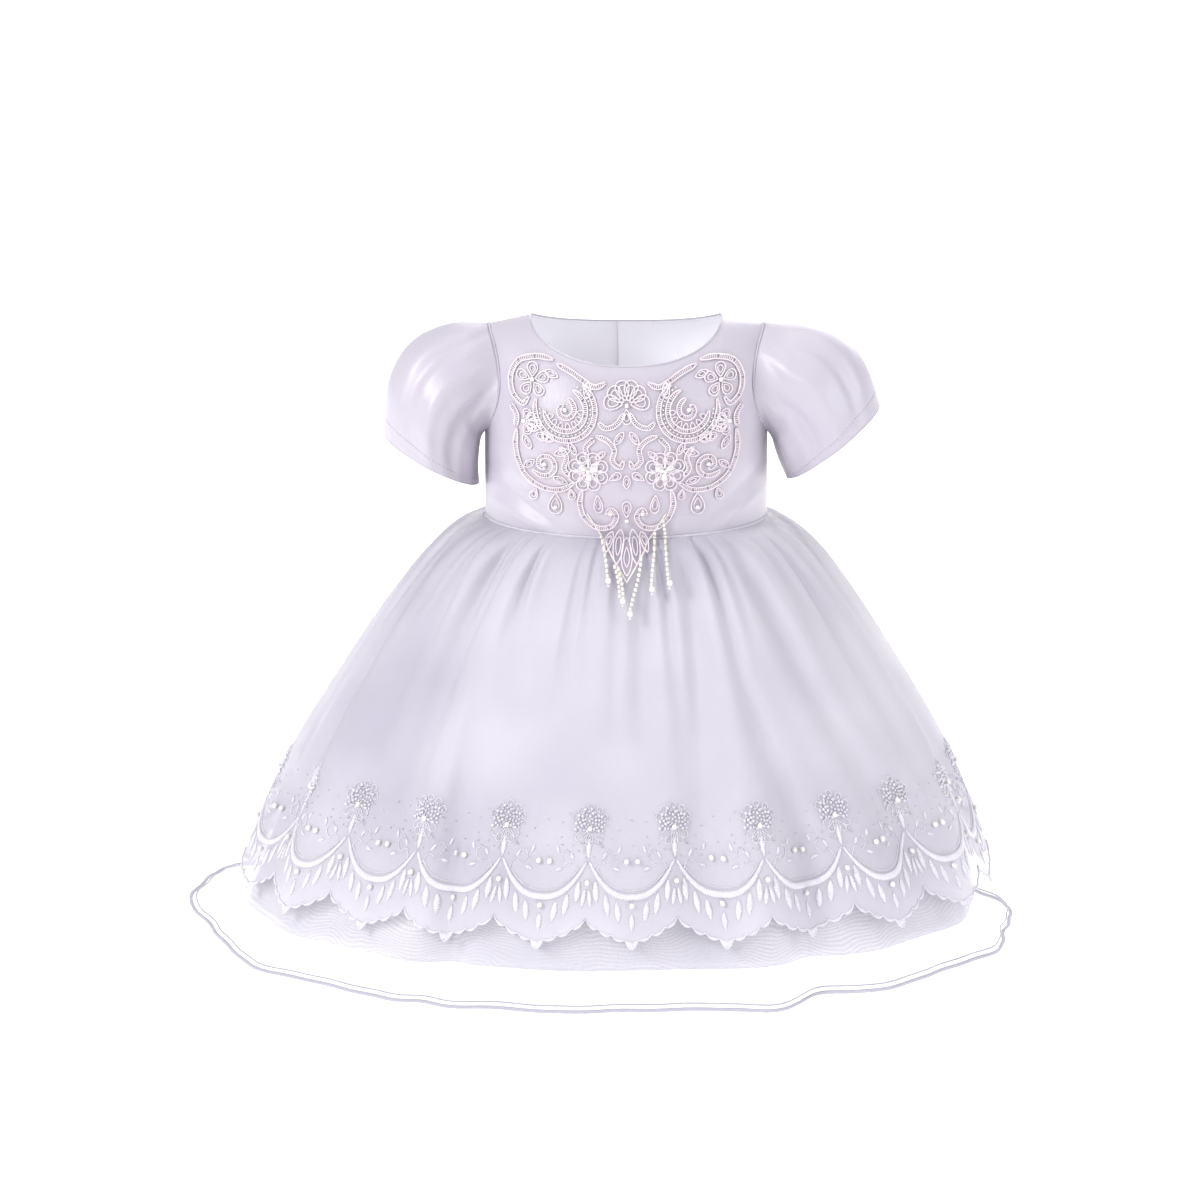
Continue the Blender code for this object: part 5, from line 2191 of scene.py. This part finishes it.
@dataclass
class BeadFringe:
    """Five strands of beads below the lace's V, each ending in a pearl."""

    front: FrontForm
    strands: tuple[Strand, ...] = (
        Strand(-0.0150, 0.0235, 0.0040),
        Strand(-0.0060, 0.0210, 0.0035, 2),
        Strand(0.0085, 0.0320, -0.0065),
        Strand(0.0165, 0.0305, -0.0015),
        Strand(0.0215, 0.0350, 0.0040),
    )
    half_width: float = 0.024
    top_z: float = -0.108
    tip_z: float = -0.144
    root_drop: float = 0.0020
    bead: Triple = (0.00105, 0.00125, 0.00105)
    pearl: float = 0.0018
    last_bead: float = 0.0008
    spacing: float = 0.0024
    cord_radius: float = 0.0005

    def root(self, x: float) -> float:
        """Height at which a strand leaves the V."""
        share = min(abs(x) / self.half_width, 1)
        return self.tip_z + (self.top_z - self.tip_z) * share - self.root_drop

    def string(self, strand: Strand, number: int) -> Shape:
        """One string of a strand's beads: evenly spaced, drifting evenly to a side with a slight sway.

        Args:
            strand: what it belongs to.
            number: which of the strand's strings it is.

        Returns:
            The beads.
        """
        count = int((strand.length - 2 * self.pearl) / self.spacing)
        share = np.arange(count) / count
        beside = (number - (strand.strings - 1) / 2) * 2 * self.bead[0]
        sway = 0.0005 * np.sin(4.5 * share + 40 * strand.x)
        x = strand.x + strand.drift * share + sway + beside
        root = self.root(strand.x)
        z = root - share * (root - self.foot(strand)) - 0.5 * self.spacing * number
        out = np.full(count, self.bead[0] + 0.0003)
        return ball(3).copied(np.stack([x, z, out], axis=-1), self.bead)

    def foot(self, strand: Strand) -> float:
        """Height of the pearl at a strand's end."""
        return self.root(strand.x) - strand.length + 0.0026

    def build(self) -> None:
        """Makes the strands, their end pearls and the cord that they hang from."""
        beads, pearls = [], []
        for strand in self.strands:
            beads += [self.string(strand, number) for number in range(strand.strings)]
            foot = np.array([[strand.x + strand.drift, self.foot(strand), self.pearl + 0.0002]])
            pearls.append(ball(6).copied(foot, self.pearl))
            last = foot - np.array([[0.0, self.pearl + 0.0007, self.pearl * 0.5]])
            beads.append(ball(3).copied(last, self.last_bead))
        across = np.linspace(-1, 1, 61)
        rise = (self.top_z - self.tip_z) * np.abs(across) - 0.001
        line = np.stack([across * self.half_width, self.tip_z + rise], axis=-1)
        beads.append(tube(line, self.cord_radius, self.cord_radius, 0.0006))
        add_piece("bead_strands", self.front.lay(Shape.joined(beads)), BEAD, "bead_fringe")
        add_piece("strand_pearls", self.front.lay(Shape.joined(pearls)), PEARL)


@dataclass
class BackButtons:
    """Three pearl buttons down the back's lap."""

    form: BodiceForm
    radius: float = 0.0048
    thickness: float = 0.0018
    gap: float = 0.0007
    wall: float = 0.0012
    sides: int = 40
    heights: tuple[tuple[str, float], ...] = (("top", -0.022), ("middle", -0.060), ("low", -0.098))
    profile: tuple[tuple[float, float], ...] = (
        (0.04, 0.0), (0.80, 0.0), (0.95, 0.12), (1.0, 0.35), (0.96, 0.68), (0.86, 0.92), (0.74, 1.0),
        (0.62, 0.90), (0.45, 0.82), (0.25, 0.80), (0.04, 0.80),
    )

    def build(self) -> None:
        """Makes each button: a dished profile turned about its axis, leaning with the back."""
        for name, z in self.heights:
            add_piece(f"button_{name}", self.button(z), PEARL, f"back_button_{name}")

    def depth(self, z: float) -> float:
        """How far behind the origin the back lies at a height."""
        return float(self.form.depth_at(np.array(0.0), np.array(z), self.form.back_depth))

    def button(self, z: float) -> Shape:
        """One button: the profile's radius and height turned about the Y axis, and two flat lids.

        Args:
            z: the height of its middle.

        Returns:
            The button, closed.
        """
        seat = self.depth(z) + self.wall + self.gap
        lean = (self.depth(z - self.radius) - self.depth(z + self.radius)) / (2 * self.radius)
        angle = TURN * np.arange(self.sides) / self.sides
        size, height = np.array(self.profile).T
        x = -self.radius * size[:, None] * np.cos(angle)
        up = self.radius * size[:, None] * np.sin(angle)
        y = seat + height[:, None] * self.thickness - lean * up
        shape = grid_shape(np.stack([x, y, z + up], axis=-1), (0.03, 0.006), closed=True)
        rings = np.arange(len(size) * self.sides).reshape(len(size), self.sides)
        near, far = rings[:, : self.sides // 2], rings[:, : self.sides // 2 - 1 : -1]
        lids = np.stack([near[:, :-1], near[:, 1:], far[:, 1:], far[:, :-1]], axis=-1)
        quads = np.concatenate([shape.quads, lids[0], lids[-1][:, ::-1]])
        corners = np.concatenate([shape.corners, np.zeros((2 * len(lids[0]), 4, 2))])
        return Shape(shape.points, quads, corners).flipped()


@dataclass
class Studio:
    """A white floor, soft light from all round, and the camera in front and a little above."""

    distance: float = 3.5
    elevation: float = math.radians(14)
    frame_half: float = 0.372
    target: Triple = (-0.0161, 0.0, -0.180)
    floor_z: float = -0.62
    floor_half: float = 6.0
    sky: float = 0.60
    softboxes: tuple[tuple[str, Triple, float, float], ...] = (
        ("key", (-2.5, -1.9, 1.7), 1.3, 105.0),
        ("fill", (2.8, -1.3, 1.0), 1.8, 46.0),
        ("top", (0.2, 0.1, 2.6), 2.0, 30.0),
        ("behind", (0.9, 2.9, 1.3), 2.0, 55.0),
    )

    def build(self) -> None:
        """Makes the camera, the floor and the lights."""
        self.add_camera()
        self.add_floor()
        self.add_sky()
        for softbox in self.softboxes:
            self.add_softbox(*softbox)

    def add_camera(self) -> None:
        """Aims the camera at the middle of the gown, from the photograph's height."""
        target = np.array(self.target)
        back = np.array([0.0, -math.cos(self.elevation), math.sin(self.elevation)])
        data = bpy.data.cameras.new("camera")
        data.sensor_width = 36.0
        data.angle = 2 * math.atan(self.frame_half / self.distance)
        camera = bpy.data.objects.new("camera", data)
        camera.location = target + self.distance * back
        camera.rotation_euler = (math.pi / 2 - self.elevation, 0.0, 0.0)
        bpy.context.collection.objects.link(camera)
        bpy.context.scene.camera = camera

    def add_floor(self) -> None:
        """A wide frosted sheet that fills the frame."""
        edge = np.linspace(-self.floor_half, self.floor_half, 9)
        x, y = np.meshgrid(edge, -edge)
        grid = np.stack([x, y, np.full_like(x, self.floor_z)], axis=-1)
        span = 2 * self.floor_half
        add_mesh("floor", grid_shape(grid, (span, span)), BACKDROP)

    def add_sky(self) -> None:
        """An even sky, which the camera sees as white and the gown as less bright."""
        world = bpy.data.worlds.new("studio")
        world.use_nodes = True
        tree = world.node_tree
        sky = tree.nodes["Background"]
        sky.inputs["Color"].default_value = (1.0, 1.0, 1.0, 1.0)
        rays = tree.nodes.new("ShaderNodeLightPath")
        strength = tree.nodes.new("ShaderNodeMapRange")
        strength.inputs["To Min"].default_value = self.sky
        strength.inputs["To Max"].default_value = 1.0
        tree.links.new(rays.outputs["Is Camera Ray"], strength.inputs["Value"])
        tree.links.new(strength.outputs["Result"], sky.inputs["Strength"])
        bpy.context.scene.world = world

    def add_softbox(self, name: str, place: Triple, size: float, power: float) -> None:
        """One square area light aimed at the gown.

        Args:
            name: the light's name.
            place: where it stands.
            size: the length of its side.
            power: in watts.
        """
        data = bpy.data.lights.new(name, "AREA")
        data.shape = "SQUARE"
        data.size = size
        data.energy = power
        lamp = bpy.data.objects.new(name, data)
        lamp.location = place
        aim = np.subtract(self.target, place)
        lamp.rotation_euler = (math.atan2(math.hypot(*aim[:2]), -aim[2]), 0.0, math.atan2(-aim[0], aim[1]))
        bpy.context.collection.objects.link(lamp)


def main() -> None:
    """Builds the gown on the frame."""
    logging.basicConfig(level=logging.INFO, format="%(name)s %(message)s")
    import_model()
    bpy.context.scene.view_settings.view_transform = "Standard"
    Studio().build()
    form = BodiceForm()
    Bodice(form).build()
    Sleeve("sleeve_right", -1, RIGHT_SLEEVE, form, RIGHT_CREASES).build()
    Sleeve("sleeve_left", 1, LEFT_SLEEVE, form, LEFT_CREASES).build()
    skirts = Skirts()
    skirts.build()
    HemEmbroidery(skirts.over).build()
    front = FrontForm(form)
    Applique(front).build()
    BeadFringe(front).build()
    BackButtons(form).build()


if __name__ == "__main__":
    main()
